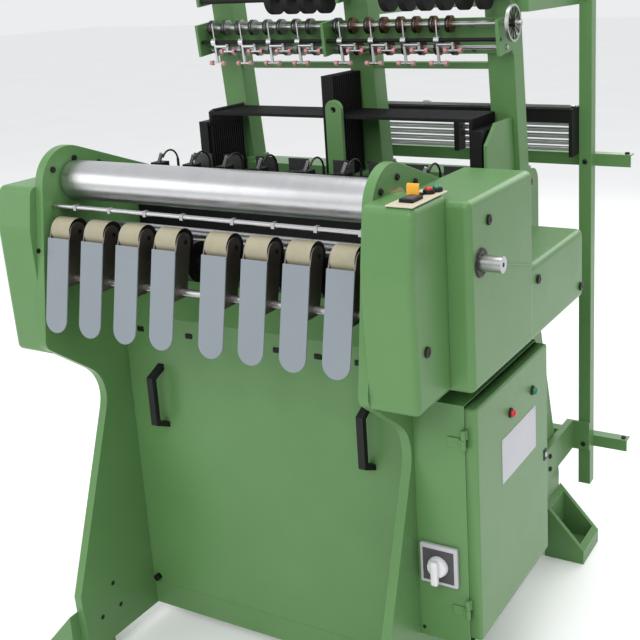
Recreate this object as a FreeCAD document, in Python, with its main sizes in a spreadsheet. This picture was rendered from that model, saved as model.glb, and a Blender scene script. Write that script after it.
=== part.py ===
"""Narrow-fabric needle loom with eight tapes, as a parametric document.

X runs across the machine, Y runs from the weaver's side to the warp side and Z is up.
The origin is the centre of the four anchor holes, on the floor.
"""
import FreeCAD, Part
import math
import os
import re
import Sketcher

os.makedirs("parts", exist_ok=True)
doc = FreeCAD.newDocument("needle_loom")
Vector = FreeCAD.Vector

# ---------------------------------------------------------------- sizes
SIZES = {
    # side frames: cast plates that carry everything
    "inner_half": 420, "frame_thick": 22, "plate_base": 45,
    "toe_y": 546, "heel_y": 556, "toe_rise": 215, "sole_inset": 8,
    "waist_y": -357, "waist_z": 735, "waist_round": 105,
    "bulge_y": -547, "bulge_z": 880, "bulge_round": 28,
    "crown_y": -477, "crown_z": 1366, "crown_round": 88,
    "deck_y": 30, "deck_z": 1180, "back_y": 400, "back_z": 760, "back_round": 40,
    # feet and their anchor holes
    "anchor_y": 500, "anchor_x": 525, "anchor_radius": 9, "foot_width": 140,
    "foot_reach": 118, "foot_rise": 170, "foot_end": 40, "foot_wall": 14,
    # take-up: plain roller, driven rollers and press rollers
    "roller_y": -396, "roller_z": 1252, "roller_radius": 46, "roller_journal": 17,
    "drive_y": -421, "drive_z": 1092, "drive_radius": 46, "drive_length": 50,
    "drive_journal": 14, "collar_radius": 22, "collar_length": 10,
    "press_radius": 30, "press_length": 56, "press_angle": 49, "press_journal": 5,
    "running_gap": 0.3, "bore_gap": 0.05,
    # tapes: four to each side of a wider middle gap
    "tape_pitch": 102.5, "tape_middle": 134,
    # release paddles and their levers
    "paddle_width": 64, "paddle_length": 217, "paddle_thick": 3, "paddle_tilt": 11.4,
    "paddle_top_y": -509, "paddle_top_z": 1138, "cheek_thick": 3, "cheek_round": 21,
    "pivot_y": -497, "pivot_z": 1045, "pivot_radius": 8, "pivot_round": 13,
    # rods in front of the roller
    "rod_y": -470, "rod_z": 1205, "rod_radius": 5, "strip_y": -450, "strip_z": 1195,
    "clamp_width": 8, "clamp_depth": 13,
    # gears between the cross shaft and the driven rollers
    "gear_module": 3, "pinion_teeth": 18, "gear_teeth": 38, "gear_width": 15,
    "mesh_angle": 27, "gear_x": 452, "shaft_radius": 15, "stub_reach": 648, "stub_radius": 17,
    # main shaft, its belts and the motor
    "main_y": -100, "main_z": 1000, "main_pulley": 70, "side_pulley": 30, "cross_pulley": 60,
    "belt_x": 372, "side_belt_x": -470, "belt_width": 18, "belt_thick": 4,
    "motor_y": 150, "motor_z": 300, "motor_radius": 75, "motor_length": 230,
    "motor_pulley": 35, "eccentric_radius": 45, "eccentric_throw": 8, "eccentric_x": 200,
    # front cover and sill
    "cover_y": -286, "cover_base": 118, "cover_top": 887, "sheet_thick": 3,
    "cover_slope_y": -214, "cover_slope_z": 962, "sill_base": 48, "seam_gap": 2,
    "handle_left": -322, "handle_right": 282, "handle_z": 590, "handle_length": 172,
    "handle_reach": 48, "handle_bar": 15,
    # gear covers
    "cover_wall": 5, "nose_width": 108, "nose_top_y": -528, "nose_fold_y": -548,
    "nose_sole_y": -538, "nose_back_y": -395, "hood_top": 1275, "hood_fold": 1150,
    "hood_base": 865, "body_width": 158, "body_back_y": -55, "body_top": 1262,
    "tail_back_y": 300, "tail_top": 1045, "left_back_y": 20, "left_top": 1252,
    "left_base": 850, "hood_round": 16,
    # console on the right gear cover
    "console_x": "=inner_half + 68", "console_y": -524, "console_width": 58, "console_length": 150,
    "console_thick": 3, "button_radius": 8, "button_travel": 4,
    # control box
    "box_width": 120, "box_y": -365, "box_length": 420, "box_base": 255, "box_height": 570,
    "box_wall": 2.5, "door_thick": 28, "door_base": 276, "door_height": 544,
    "hinge_radius": 6, "hinge_length": 44, "hinge_pin": 3, "hinge_low": 330, "hinge_high": 730,
    "switch_x": "=inner_half + 76", "switch_z": 445, "switch_width": 90, "switch_height": 95,
    "switch_thick": 12, "knob_radius": 24, "knob_depth": 26,
    # cross members between the side frames
    "beam_width": 60, "beam_height": 80, "rear_beam_y": 400, "rear_beam_z": 265,
    "deck_beam_y": 244, "deck_beam_width": 103,
    # weaving heads and the needle arms
    "breast_y": -200, "breast_depth": 214, "breast_z": 1195, "breast_thick": 15, "apron_y": -189,
    "head_width": 32, "head_depth": 34, "head_height": 40, "head_y": -160,
    "needle_y": -100, "needle_z": 1223, "needle_shaft": 5, "needle_arm": 30, "needle_wire": 2.4,
    # sley with the reeds
    "sley_y": 30, "sley_z": 900, "sley_radius": 12, "sley_beam_z": 1150, "sley_beam": 26,
    "reed_width": 60, "reed_height": 62, "reed_thick": 4, "sword_x": 300, "sword_width": 16,
    # heald frames and their combs
    "heald_y": 92, "heald_pitch": 9.2, "heald_thick": 3, "heald_half": 392,
    "heald_base": 1115, "heald_top": 1345, "heald_bar": 8, "heald_peak": 1444,
    "heald_middle": -24, "heald_middle_width": 34, "comb_gap": 0.4,
    "comb_base": 1140, "comb_top": 1318, "comb_depth": 10,
    "lug_x": 15, "lug_width": 46, "lug_rise": 205, "lug_hole": 180, "lug_thick": 12,
    "gusset_x": "=inner_half + 5", "gusset_thick": 8, "gusset_front": 82, "gusset_rise": 150,
    # gantry columns, which lean forward
    "lean": 6, "column_y": 262, "column_width": 70, "column_depth": 60, "column_wall": 6,
    "column_length": 510, "column_outer": "=inner_half + 26", "column_middle": -20, "base_thick": 12,
    "feeder_low": 298, "feeder_height": 88, "feeder_thick": 8, "tie_rise": 258, "tie_bar": 16,
    # feeder shafts, pulleys, wheel and tension arms
    "feeder_out": 45, "upper_rise": 378, "lower_rise": 321, "feeder_shaft": 6,
    "upper_pulley": 21, "lower_pulley": 19, "pulley_width": 12, "pulley_spread": 22,
    "feed_pitch": 91, "feed_middle": 128, "feed_shift": -57, "bracket_edge": 14,
    "wheel_x": 462, "wheel_radius": 44, "wheel_rim": 5, "wheel_width": 8, "spoke_radius": 1.6,
    "rail_out": 77, "rail_rise": 345, "rail_radius": 5, "arm_length": 52, "arm_radius": 3,
    "side_arm": 20, "side_shift": 40,
    "eyelet_radius": 6.5, "eyelet_length": 9, "eyelet_spread": 40,
    # supply rollers at the top
    "supply_rise": 452, "supply_out": 52, "supply_shaft": 8, "supply_radius": 40,
    "supply_width": 20, "supply_pitch": 26,
    # rear frame and warp stop motion
    "post_size": 36, "post_right": "=inner_half + 58", "post_left": -205, "post_y": 632, "post_base": 150,
    "post_top": 1710, "rail_beam": 35, "upper_beam_z": 1133, "lower_beam_z": 262,
    "beam_left": -300, "beam_right": "=inner_half + 196", "arm_plate": 20, "arm_height": 90,
    "bolt_radius": 7, "bolt_head": 5, "plug_radius": 11,
    "top_beam_z": 1585, "top_beam_height": 40, "stop_y": 572, "stop_depth": 60,
    "stop_base": 1172, "stop_height": 134, "stop_plate": 10, "stop_rod": 4,
}
sheet = doc.addObject("Spreadsheet::Sheet", "Sizes")
for row, (alias, value) in enumerate(SIZES.items(), start=1):
    sheet.set(f"A{row}", alias)
    sheet.set(f"B{row}", str(value))
    sheet.setAlias(f"B{row}", alias)
doc.recompute()
WORD = re.compile(r"[a-z_]+")
ALONG = {
    "x": FreeCAD.Rotation(Vector(0, 1, 0), 90),
    "y": FreeCAD.Rotation(Vector(1, 0, 0), -90),
    "z": FreeCAD.Rotation(),
}
nodes = []


# ---------------------------------------------------------------- helpers
def bind(thing, prop, formula):
    """Bind a property to a formula of sheet cells, each named by its alias."""
    text = WORD.sub(lambda m: "Sizes." + m.group(0) if m.group(0) in SIZES else m.group(0),
                    str(formula))
    thing.setExpression(prop, text)


def place(thing, at, rotation=None):
    """Put a thing at three formulas, turned by a rotation."""
    thing.Placement = FreeCAD.Placement(Vector(0, 0, 0), rotation or FreeCAD.Rotation())
    for axis, formula in zip("xyz", at):
        bind(thing, f"Placement.Base.{axis}", formula)
    return thing


def lean_rotation(thing):
    """Turn a thing about X by the gantry's lean."""
    thing.Placement.Rotation = FreeCAD.Rotation(Vector(1, 0, 0), 1)
    bind(thing, "Placement.Rotation.Angle", "lean")
    return thing


def box(size, at):
    """Box from its lowest corner."""
    thing = doc.addObject("Part::Box", "box")
    for prop, formula in zip(("Length", "Width", "Height"), size):
        bind(thing, prop, formula)
    return place(thing, at)


def bar(radius, length, at, along="x"):
    """Round bar from the centre of its first end."""
    thing = doc.addObject("Part::Cylinder", "bar")
    bind(thing, "Radius", radius)
    bind(thing, "Height", length)
    return place(thing, at, ALONG[along])


def cut(base, tools):
    """The base without the tools."""
    thing = doc.addObject("Part::Cut", "cut")
    thing.Base = base
    thing.Tool = tools[0] if len(tools) == 1 else fuse(tools)
    return thing


def fuse(pieces):
    """All pieces as one solid."""
    thing = doc.addObject("Part::MultiFuse", "fuse")
    thing.Shapes = pieces
    return thing


def group(pieces):
    """Pieces that stay separate solids in one node."""
    thing = doc.addObject("Part::Compound", "group")
    thing.Links = pieces
    return thing


def node(label, thing):
    """Name a finished sub-part, which gives it a file of its own."""
    thing.Label = label
    nodes.append(thing)
    return thing


def outline_sketch(body, role, corners):
    """Closed outline with each corner bound to two formulas."""
    plane = next(f for f in body.Origin.OriginFeatures if f.Role == role)
    sketch = body.newObject("Sketcher::SketchObject", "outline")
    sketch.AttachmentSupport = [(plane, "")]
    sketch.MapMode = "FlatFace"
    count = len(corners)
    ring = [Vector(math.cos(2 * math.pi * i / count), math.sin(2 * math.pi * i / count), 0)
            for i in range(count)]
    for i in range(count):
        sketch.addGeometry(Part.LineSegment(ring[i], ring[(i + 1) % count]), False)
    for i in range(count):
        sketch.addConstraint(Sketcher.Constraint("Coincident", i, 2, (i + 1) % count, 1))
    for i, corner in enumerate(corners):
        for kind, formula, start in zip(("DistanceX", "DistanceY"), corner, (ring[i].x, ring[i].y)):
            index = sketch.addConstraint(Sketcher.Constraint(kind, -1, 1, i, 1, start))
            bind(sketch, f"Constraints[{index}]", formula)
    return sketch


def plate(role, corners, thickness, at, rounds=None):
    """Padded outline on an origin plane; rounds maps corner numbers to a radius formula."""
    body = doc.addObject("PartDesign::Body", "body")
    sketch = outline_sketch(body, role, corners)
    pad = body.newObject("PartDesign::Pad", "pad")
    pad.Profile = sketch
    bind(pad, "Length", thickness)
    doc.recompute()
    last = pad
    for radius, numbers in (rounds or {}).items():
        spots = [sketch.Placement.multVec(sketch.getPoint(i, 1)) for i in numbers]
        normal = sketch.Placement.Rotation.multVec(Vector(0, 0, 1))
        edges = []
        for i, edge in enumerate(last.Shape.Edges, start=1):
            ends = [v.Point for v in edge.Vertexes]
            if len(ends) != 2 or (ends[1] - ends[0]).cross(normal).Length > 1e-4:
                continue
            near = [s for s in spots if (ends[0] - s).cross(normal).Length < 1e-3]
            if near:
                edges.append(f"Edge{i}")
        rounding = body.newObject("PartDesign::Fillet", "rounding")
        rounding.Base = (last, edges)
        bind(rounding, "Radius", radius)
        doc.recompute()
        last = rounding
    body.Tip = last
    return place(body, at)


def shape_node(shape):
    """Feature around a shape that no primitive gives."""
    thing = doc.addObject("Part::Feature", "shape")
    thing.Shape = shape
    return thing


def cell(alias):
    """Number in a cell."""
    return float(sheet.get(alias))


def gantry(rise, out):
    """Y and Z formulas at a rise along the columns and a distance out from their front."""
    return (f"column_y - ({rise})*sin(lean) - ({out})*cos(lean)",
            f"deck_z + base_thick + ({rise})*cos(lean) - ({out})*sin(lean)")


TAPES = [f"{side}*(tape_middle/2 + {step}*tape_pitch)"
         for side, step in ((-1, 3), (-1, 2), (-1, 1), (-1, 0), (1, 0), (1, 1), (1, 2), (1, 3))]
FEEDS = [f"(feed_shift + {side}*(feed_middle/2 + {step}*feed_pitch))"
         for side, step in ((-1, 3), (-1, 2), (-1, 1), (-1, 0), (1, 0), (1, 1), (1, 2), (1, 3))]
PRESS_Y = "(drive_y - (drive_radius + press_radius + running_gap)*cos(press_angle))"
PRESS_Z = "(drive_z + (drive_radius + press_radius + running_gap)*sin(press_angle))"
MESH = "gear_module*(pinion_teeth + gear_teeth)/2"
CROSS_Y = f"(drive_y + {MESH}*cos(mesh_angle))"
CROSS_Z = f"(drive_z + {MESH}*sin(mesh_angle))"
OUTER = "(inner_half + frame_thick)"
BODY_X = f"({OUTER} + body_width)"


# ---------------------------------------------------------------- side frames and feet
def journals(x):
    """Bores through a side frame for the shafts that turn in it."""
    spots = [("roller_journal", "roller_y", "roller_z"), ("drive_journal", "drive_y", "drive_z"),
             ("shaft_radius", CROSS_Y, CROSS_Z), ("shaft_radius", "main_y", "main_z"),
             ("sley_radius", "sley_y", "sley_z")]
    return [bar(f"{radius} + bore_gap", "frame_thick + 2", (f"{x} - 1", y, z))
            for radius, y, z in spots]


def side_frame(label, x):
    """Cast side plate with its nose, waist, legs and shaft bores."""
    corners = [("-toe_y + sole_inset", "plate_base"), ("-toe_y", "toe_rise"),
               ("waist_y", "waist_z"), ("bulge_y", "bulge_z"), ("crown_y", "crown_z"),
               ("deck_y", "deck_z"), ("back_y", "deck_z"), ("back_y", "back_z"),
               ("heel_y", "toe_rise"), ("heel_y - sole_inset", "plate_base")]
    rounds = {"waist_round": [2], "bulge_round": [3], "crown_round": [4], "back_round": [6, 7]}
    body = plate("YZ_Plane", corners, "frame_thick", (x, "0", "0"), rounds)
    return node(label, cut(body, journals(x)))


def foot(side, y_sign):
    """Wedge foot with a pocket for its anchor bolt."""
    reach = f"{side}*({OUTER})"
    tip = f"{side}*({OUTER} + foot_reach)"
    corners = [(reach, "0"), (tip, "0"), (tip, "foot_end"), (reach, "foot_rise")]
    wedge = plate("XZ_Plane", corners, "foot_width",
                  ("0", f"{y_sign}*anchor_y + foot_width/2", "0"))
    low = f"{OUTER} + foot_wall" if side > 0 else f"-({OUTER} + foot_reach - foot_wall)"
    pocket = box(("foot_reach - 2*foot_wall", "foot_width - 2*foot_wall", "foot_rise"),
                 (low, f"{y_sign}*anchor_y - foot_width/2 + foot_wall", "foot_wall"))
    hole = bar("anchor_radius", "foot_wall + 2", (f"{side}*anchor_x", f"{y_sign}*anchor_y", "-1"),
               "z")
    return cut(wedge, [pocket, hole])


side_frame("left_side_frame", f"-{OUTER}")
side_frame("right_side_frame", "inner_half")
node("machine_feet", group([foot(s, e) for s in (-1, 1) for e in (-1, 1)]))


# ---------------------------------------------------------------- cross members
def cross_beam(y, z, width, height):
    """Square-edged beam between the two side frames."""
    return box(("2*inner_half", width, height), ("-inner_half", y, z))


node("cross_beams", group([
    cross_beam("cover_y + sheet_thick + 14", "60", "beam_width", "beam_width"),
    cross_beam("rear_beam_y", "rear_beam_z", "beam_width", "arm_height"),
    cross_beam("deck_beam_y", "deck_z - beam_height", "deck_beam_width", "beam_height")]))


# ---------------------------------------------------------------- front covers
def folded_panel(corners):
    """Folded sheet between the side frames from its section across X."""
    return plate("YZ_Plane", corners, "2*inner_half - 2*running_gap",
                 ("-inner_half + running_gap", "0", "0"))


node("front_cover", folded_panel([
    ("cover_y", "cover_base"), ("cover_y + sheet_thick", "cover_base"),
    ("cover_y + sheet_thick", "cover_top - 1"),
    ("cover_slope_y + sheet_thick", "cover_slope_z - 1"),
    ("cover_slope_y + 40", "cover_slope_z - 1"), ("cover_slope_y + 40", "cover_slope_z + 2"),
    ("cover_slope_y", "cover_slope_z + 2"), ("cover_y", "cover_top")]))
node("front_sill", folded_panel([
    ("cover_y + 2", "sill_base"), ("cover_y + 17", "sill_base"),
    ("cover_y + 17", "sill_base + sheet_thick"),
    ("cover_y + 2 + sheet_thick", "sill_base + sheet_thick"),
    ("cover_y + 2 + sheet_thick", "cover_base - seam_gap"),
    ("cover_y + 2", "cover_base - seam_gap")]))


def pull_handle(x):
    """Bent pull handle with chamfered corners, standing out from the front cover."""
    face = "cover_y"
    corners = [(face, "handle_z"), (face, "handle_z + handle_bar"),
               (f"{face} - handle_reach + handle_bar", "handle_z + 2*handle_bar"),
               (f"{face} - handle_reach + handle_bar", "handle_z + handle_length - 2*handle_bar"),
               (face, "handle_z + handle_length - handle_bar"),
               (face, "handle_z + handle_length"),
               (f"{face} - handle_reach", "handle_z + handle_length - 1.5*handle_bar"),
               (f"{face} - handle_reach", "handle_z + 1.5*handle_bar")]
    return plate("YZ_Plane", corners, "handle_bar*1.2", (x, "0", "0"))


node("cover_handles", group([pull_handle("handle_left"), pull_handle("handle_right")]))


# ---------------------------------------------------------------- gear covers
def hood_block(x, width, y, depth, z, height):
    """Plain block of a gear cover."""
    return box((width, depth, height), (x, y, z))


def hood_nose(x, width, top, base, inset, back):
    """Front block of a gear cover with the fold across its face; inset shrinks it inward."""
    corners = [(f"nose_top_y + {inset}", f"{top} - {inset}"),
               (f"nose_fold_y + {inset}", "hood_fold"),
               (f"nose_sole_y + {inset}", f"{base} + {inset}"),
               (f"{back} - {inset}", f"{base} + {inset}"), (f"{back} - {inset}", f"{top} - {inset}")]
    return plate("YZ_Plane", corners, width, (x, "0", "0"))


def rounded(thing, side, reach):
    """Round the long outer edges that lie at a distance from the middle."""
    doc.recompute()
    rounding = doc.addObject("Part::Fillet", "rounding")
    rounding.Base = thing
    edges = []
    radius = cell("hood_round")
    for i, edge in enumerate(thing.Shape.Edges, start=1):
        ends = [v.Point for v in edge.Vertexes]
        if all(abs(side * p.x - reach) < 0.01 for p in ends) and edge.Length > 3 * radius:
            edges.append((i, radius, radius))
    rounding.Edges = edges
    return rounding


def bearing_notch(side):
    """Round clearance in a gear cover around the end bearing of the plain roller."""
    start = f"{OUTER} - 1" if side > 0 else f"-({OUTER} + 13)"
    return bar("roller_journal + 17", "14", (start, "roller_y", "roller_z"))


def right_cover():
    """Hollow cast cover of the right gears: nose, deeper body and low tail."""
    wall = "cover_wall"
    outer = fuse([
        hood_nose(OUTER, "nose_width", "hood_top", "hood_base", "0", "nose_back_y + 20"),
        hood_block(OUTER, "body_width", "nose_back_y", "body_back_y - nose_back_y",
                   "hood_base", "body_top - hood_base"),
        hood_block(OUTER, "body_width", "body_back_y - 1", "tail_back_y - body_back_y + 1",
                   "hood_base", "tail_top - hood_base")])
    doc.recompute()
    outer = rounded(outer, 1, cell("inner_half") + cell("frame_thick") + cell("body_width"))
    inner = fuse([
        hood_nose(f"{OUTER} - 1", f"nose_width - {wall} + 1", "hood_top", "hood_base", wall,
                  "nose_back_y + 20"),
        hood_block(f"{OUTER} - 1", f"body_width - {wall} + 1", f"nose_back_y + {wall}",
                   f"body_back_y - nose_back_y - 2*{wall}", f"hood_base + {wall}",
                   f"body_top - hood_base - 2*{wall}"),
        hood_block(f"{OUTER} - 1", f"body_width - {wall} + 1", f"body_back_y - 2*{wall}",
                   f"tail_back_y - body_back_y + {wall}", f"hood_base + {wall}",
                   f"tail_top - hood_base - 2*{wall}")])
    stub_hole = bar("stub_radius + 5", f"2*{wall}", (f"{BODY_X} - 1.5*{wall}", CROSS_Y, CROSS_Z))
    return cut(outer, [inner, stub_hole, bearing_notch(1)])


def left_cover():
    """Hollow sheet cover of the left belt drive."""
    wall = "cover_wall"
    left = f"-({OUTER} + nose_width)"
    outer = hood_nose(left, "nose_width", "left_top", "left_base", "0", "left_back_y")
    outer = rounded(outer, -1, cell("inner_half") + cell("frame_thick") + cell("nose_width"))
    inner = hood_nose(f"{left} + {wall}", f"nose_width - {wall} + 1", "left_top", "left_base",
                      wall, "left_back_y")
    return cut(outer, [inner, bearing_notch(-1)])


node("left_gear_cover", left_cover())
node("right_gear_cover", right_cover())


# ---------------------------------------------------------------- take-up rollers
def journalled(radius, journal, at, reach):
    """Roller with a journal that runs through both side frames."""
    y, z = at
    return fuse([bar(radius, "2*inner_half - 14", ("7 - inner_half", y, z)),
                 bar(journal, f"2*({reach})", (f"-({reach})", y, z))])


node("chrome_roller", journalled("roller_radius", "roller_journal", ("roller_y", "roller_z"),
                                 f"{OUTER} + 6"))
bearings = []
for side in (-1, 1):
    start = OUTER if side > 0 else f"-({OUTER} + 8)"
    bearings.append(cut(bar("roller_journal + 14", "8", (start, "roller_y", "roller_z")),
                        [bar("roller_journal + bore_gap", "10",
                             (f"{start} - 1", "roller_y", "roller_z"))]))
node("roller_bearings", group(bearings))


def gear(teeth, bore, x, y, z, turn):
    """Spur gear with straight-flanked teeth, from a pitch radius and a bore in the sheet."""
    module = cell("gear_module")
    pitch = module * teeth / 2
    corners = []
    for i in range(teeth):
        for share, radius in ((-0.30, pitch - 1.25 * module), (-0.13, pitch + 0.9 * module),
                              (0.13, pitch + 0.9 * module), (0.30, pitch - 1.25 * module)):
            angle = 2 * math.pi * (i + share) / teeth
            corners.append(Vector(0, radius * math.cos(angle), radius * math.sin(angle)))
    blank = Part.Face(Part.makePolygon(corners + corners[:1]))
    hole = Part.makeCylinder(bore, cell("gear_width") + 2, Vector(-1, 0, 0), Vector(1, 0, 0))
    thing = shape_node(blank.extrude(Vector(cell("gear_width"), 0, 0)).cut(hole))
    thing.Placement.Rotation = FreeCAD.Rotation(Vector(1, 0, 0), turn)
    bind(thing, "Placement.Base.x", x)
    bind(thing, "Placement.Base.y", y)
    bind(thing, "Placement.Base.z", z)
    return thing


drive_parts = [bar("drive_journal", f"{OUTER} + inner_half + gear_width + 24",
                   (f"-({OUTER})", "drive_y", "drive_z"))]
for tape in TAPES:
    drive_parts.append(bar("drive_radius", "drive_length",
                           (f"{tape} - drive_length/2", "drive_y", "drive_z")))
for middle in range(len(TAPES) - 1):
    gap = f"({TAPES[middle]} + {TAPES[middle + 1]})/2"
    drive_parts.append(bar("collar_radius", "collar_length",
                           (f"{gap} - collar_length/2", "drive_y", "drive_z")))
drive_parts.append(gear(int(cell("gear_teeth")), cell("drive_journal") - 1, "gear_x",
                        "drive_y", "drive_z", cell("mesh_angle")))
node("takeup_shaft", fuse(drive_parts))


# ---------------------------------------------------------------- press rollers and paddles
def press_roller(number, tape):
    """Rubber-covered roller on its own journals."""
    node(f"press_roller_{number}", fuse([
        bar("press_radius", "press_length", (f"{tape} - press_length/2", PRESS_Y, PRESS_Z)),
        bar("press_journal", "press_length + 2*cheek_thick + 2",
            (f"{tape} - press_length/2 - cheek_thick - 1", PRESS_Y, PRESS_Z))]))


def paddle_lever(number, tape):
    """Release lever: two cheeks that carry a press roller, and the paddle across them."""
    back = "(paddle_top_y + paddle_thick/cos(paddle_tilt))"
    low_z = "(pivot_z - pivot_round - 1)"
    high_z = "(paddle_top_z - 14)"
    corners = [(f"{PRESS_Y} - cheek_round - 1", f"{PRESS_Z} + cheek_round + 1"),
               (f"{PRESS_Y} + cheek_round + 1", f"{PRESS_Z} + cheek_round + 1"),
               ("pivot_y + pivot_round + 1", low_z),
               (f"{back} - (paddle_top_z - {low_z})*tan(paddle_tilt) - 1", low_z),
               (f"{back} - (paddle_top_z - {high_z})*tan(paddle_tilt) - 1", high_z)]
    rounds = {"cheek_round": [0, 1], "pivot_round": [2]}
    inside = "(press_length/2 + running_gap)"
    cheeks = [plate("YZ_Plane", corners, "cheek_thick", (f"{tape} - {inside} - cheek_thick",
                                                         "0", "0"), rounds),
              plate("YZ_Plane", corners, "cheek_thick", (f"{tape} + {inside}", "0", "0"), rounds)]
    blade = plate("XZ_Plane", [("-paddle_width/2", "-paddle_length"),
                               ("paddle_width/2", "-paddle_length"), ("paddle_width/2", "0"),
                               ("-paddle_width/2", "0")],
                  "paddle_thick", (tape, back, "paddle_top_z"), {"paddle_width/2 - 0.2": [0, 1]})
    blade.Placement.Rotation = FreeCAD.Rotation(Vector(-1, 0, 0), 1)
    bind(blade, "Placement.Rotation.Angle", "paddle_tilt")
    holes = [bar("press_journal + bore_gap", "paddle_width",
                 (f"{tape} - paddle_width/2", PRESS_Y, PRESS_Z)),
             bar("pivot_radius + bore_gap", "paddle_width",
                 (f"{tape} - paddle_width/2", "pivot_y", "pivot_z"))]
    node(f"paddle_lever_{number}", cut(fuse(cheeks + [blade]), holes))


for number, tape in enumerate(TAPES, start=1):
    press_roller(number, tape)
    paddle_lever(number, tape)

clamps = [cut(box(("clamp_width", "clamp_depth", "clamp_depth"),
                  (f"{tape} + drive_length/2", "rod_y - clamp_depth/2", "rod_z - clamp_depth/2")),
              [bar("rod_radius", "2*clamp_width", (f"{tape} + drive_length/2 - 1",
                                                   "rod_y", "rod_z"))])
          for tape in TAPES]
node("fixed_rods", group([
    bar("pivot_radius", "2*inner_half", ("-inner_half", "pivot_y", "pivot_z")),
    fuse([bar("rod_radius", "2*inner_half", ("-inner_half", "rod_y", "rod_z"))] + clamps),
    box(("2*inner_half", "22", "3"), ("-inner_half", "strip_y", "strip_z"))]))


# ---------------------------------------------------------------- main drive
def belt(x, first, second):
    """Flat belt around two pulleys, each given as (y, z, radius) numbers."""
    (y1, z1, r1), (y2, z2, r2) = first, second
    span = math.hypot(y2 - y1, z2 - z1)
    heading = math.atan2(z2 - z1, y2 - y1)
    spread = math.acos((r1 - r2) / span)

    def loop(grow):
        points = []
        for y, z, radius, side in ((y1, z1, r1 + grow, 1), (y2, z2, r2 + grow, 1),
                                   (y2, z2, r2 + grow, -1), (y1, z1, r1 + grow, -1)):
            angle = heading + side * spread
            points.append(Vector(0, y + radius * math.cos(angle), z + radius * math.sin(angle)))
        far = Vector(0, y2 + (r2 + grow) * math.cos(heading), z2 + (r2 + grow) * math.sin(heading))
        near = Vector(0, y1 - (r1 + grow) * math.cos(heading), z1 - (r1 + grow) * math.sin(heading))
        edges = [Part.LineSegment(points[0], points[1]).toShape(),
                 Part.Arc(points[1], far, points[2]).toShape(),
                 Part.LineSegment(points[2], points[3]).toShape(),
                 Part.Arc(points[3], near, points[0]).toShape()]
        return Part.Face(Part.Wire(edges))

    gap = cell("running_gap")
    band = loop(gap + cell("belt_thick")).cut(loop(gap))
    thing = shape_node(band.extrude(Vector(cell("belt_width"), 0, 0)))
    bind(thing, "Placement.Base.x", x)
    return thing


def pulley(radius, x, y, z):
    """Flat pulley with a rim on each side of its belt."""
    return fuse([bar(radius, "belt_width + 4", (f"{x} - 2", y, z)),
                 bar(f"{radius} + 7", "3", (f"{x} - 5", y, z)),
                 bar(f"{radius} + 7", "3", (f"{x} + belt_width + 2", y, z))])


main_parts = [bar("shaft_radius", f"-side_belt_x + {OUTER} + 12",
                  ("side_belt_x - 6", "main_y", "main_z")),
              pulley("main_pulley", "belt_x", "main_y", "main_z"),
              pulley("side_pulley", "side_belt_x", "main_y", "main_z")]
for side in (-1, 1):
    main_parts.append(bar("eccentric_radius", "20", (f"{side}*eccentric_x - 10",
                                                     "main_y + eccentric_throw", "main_z")))
node("main_shaft", fuse(main_parts))
half_tooth = 180 / cell("pinion_teeth")
node("cross_shaft", fuse([
    bar("shaft_radius", "stub_reach - side_belt_x + 6 - 60", ("side_belt_x - 6", CROSS_Y, CROSS_Z)),
    bar("stub_radius", "70", ("stub_reach - 70", CROSS_Y, CROSS_Z)),
    pulley("cross_pulley", "side_belt_x", CROSS_Y, CROSS_Z),
    gear(int(cell("pinion_teeth")), cell("shaft_radius") - 1, "gear_x", CROSS_Y, CROSS_Z,
         cell("mesh_angle") + half_tooth)]))
motor_x = "belt_x - motor_length - 30"
node("motor", fuse([
    bar("motor_radius", "motor_length", (motor_x, "motor_y", "motor_z")),
    box(("motor_length - 60", "2*motor_radius", "motor_radius"),
        (f"{motor_x} + 30", "motor_y - motor_radius", "motor_z - motor_radius - 6")),
    box(("90", "60", "50"), (f"{motor_x} + 60", "motor_y - 30", "motor_z + motor_radius - 10")),
    box(("motor_length - 40", "rear_beam_y - motor_y + motor_radius", "10"),
        (f"{motor_x} + 20", "motor_y - motor_radius", "motor_z - motor_radius - 16")),
    box(("motor_length - 40", "10", "60"),
        (f"{motor_x} + 20", "rear_beam_y - 10", "motor_z - motor_radius - 16"))]))
node("motor_pulley", fuse([
    pulley("motor_pulley", "belt_x", "motor_y", "motor_z"),
    bar("motor_pulley/2 - 4", "30 - running_gap", ("belt_x - 30 + running_gap", "motor_y",
                                                   "motor_z"))]))
cross_y = cell("drive_y") + cell("gear_module") * (cell("pinion_teeth") + cell("gear_teeth")) / 2 \
    * math.cos(math.radians(cell("mesh_angle")))
cross_z = cell("drive_z") + cell("gear_module") * (cell("pinion_teeth") + cell("gear_teeth")) / 2 \
    * math.sin(math.radians(cell("mesh_angle")))
node("drive_belts", group([
    belt("belt_x", (cell("main_y"), cell("main_z"), cell("main_pulley")),
         (cell("motor_y"), cell("motor_z"), cell("motor_pulley"))),
    belt("side_belt_x", (cell("main_y"), cell("main_z"), cell("side_pulley")),
         (cross_y, cross_z, cell("cross_pulley")))]))


# ---------------------------------------------------------------- control box
DOOR_X = f"({OUTER} + box_width + running_gap)"
HINGE_Y = "(box_y - hinge_radius - 1)"
node("control_box", cut(box(("box_width", "box_length", "box_height"),
                            (OUTER, "box_y", "box_base")),
                        [box(("box_width", "box_length - 2*box_wall", "box_height - 2*box_wall"),
                             (f"{OUTER} + box_wall", "box_y + box_wall", "box_base + box_wall"))]))


def hinge_knuckle(z, length, bore):
    """Tube around the door's hinge line."""
    return cut(bar("hinge_radius", length, (DOOR_X, HINGE_Y, z), "z"),
               [bar(bore, f"{length} + 2", (DOOR_X, HINGE_Y, f"{z} - 1"), "z")])


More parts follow.
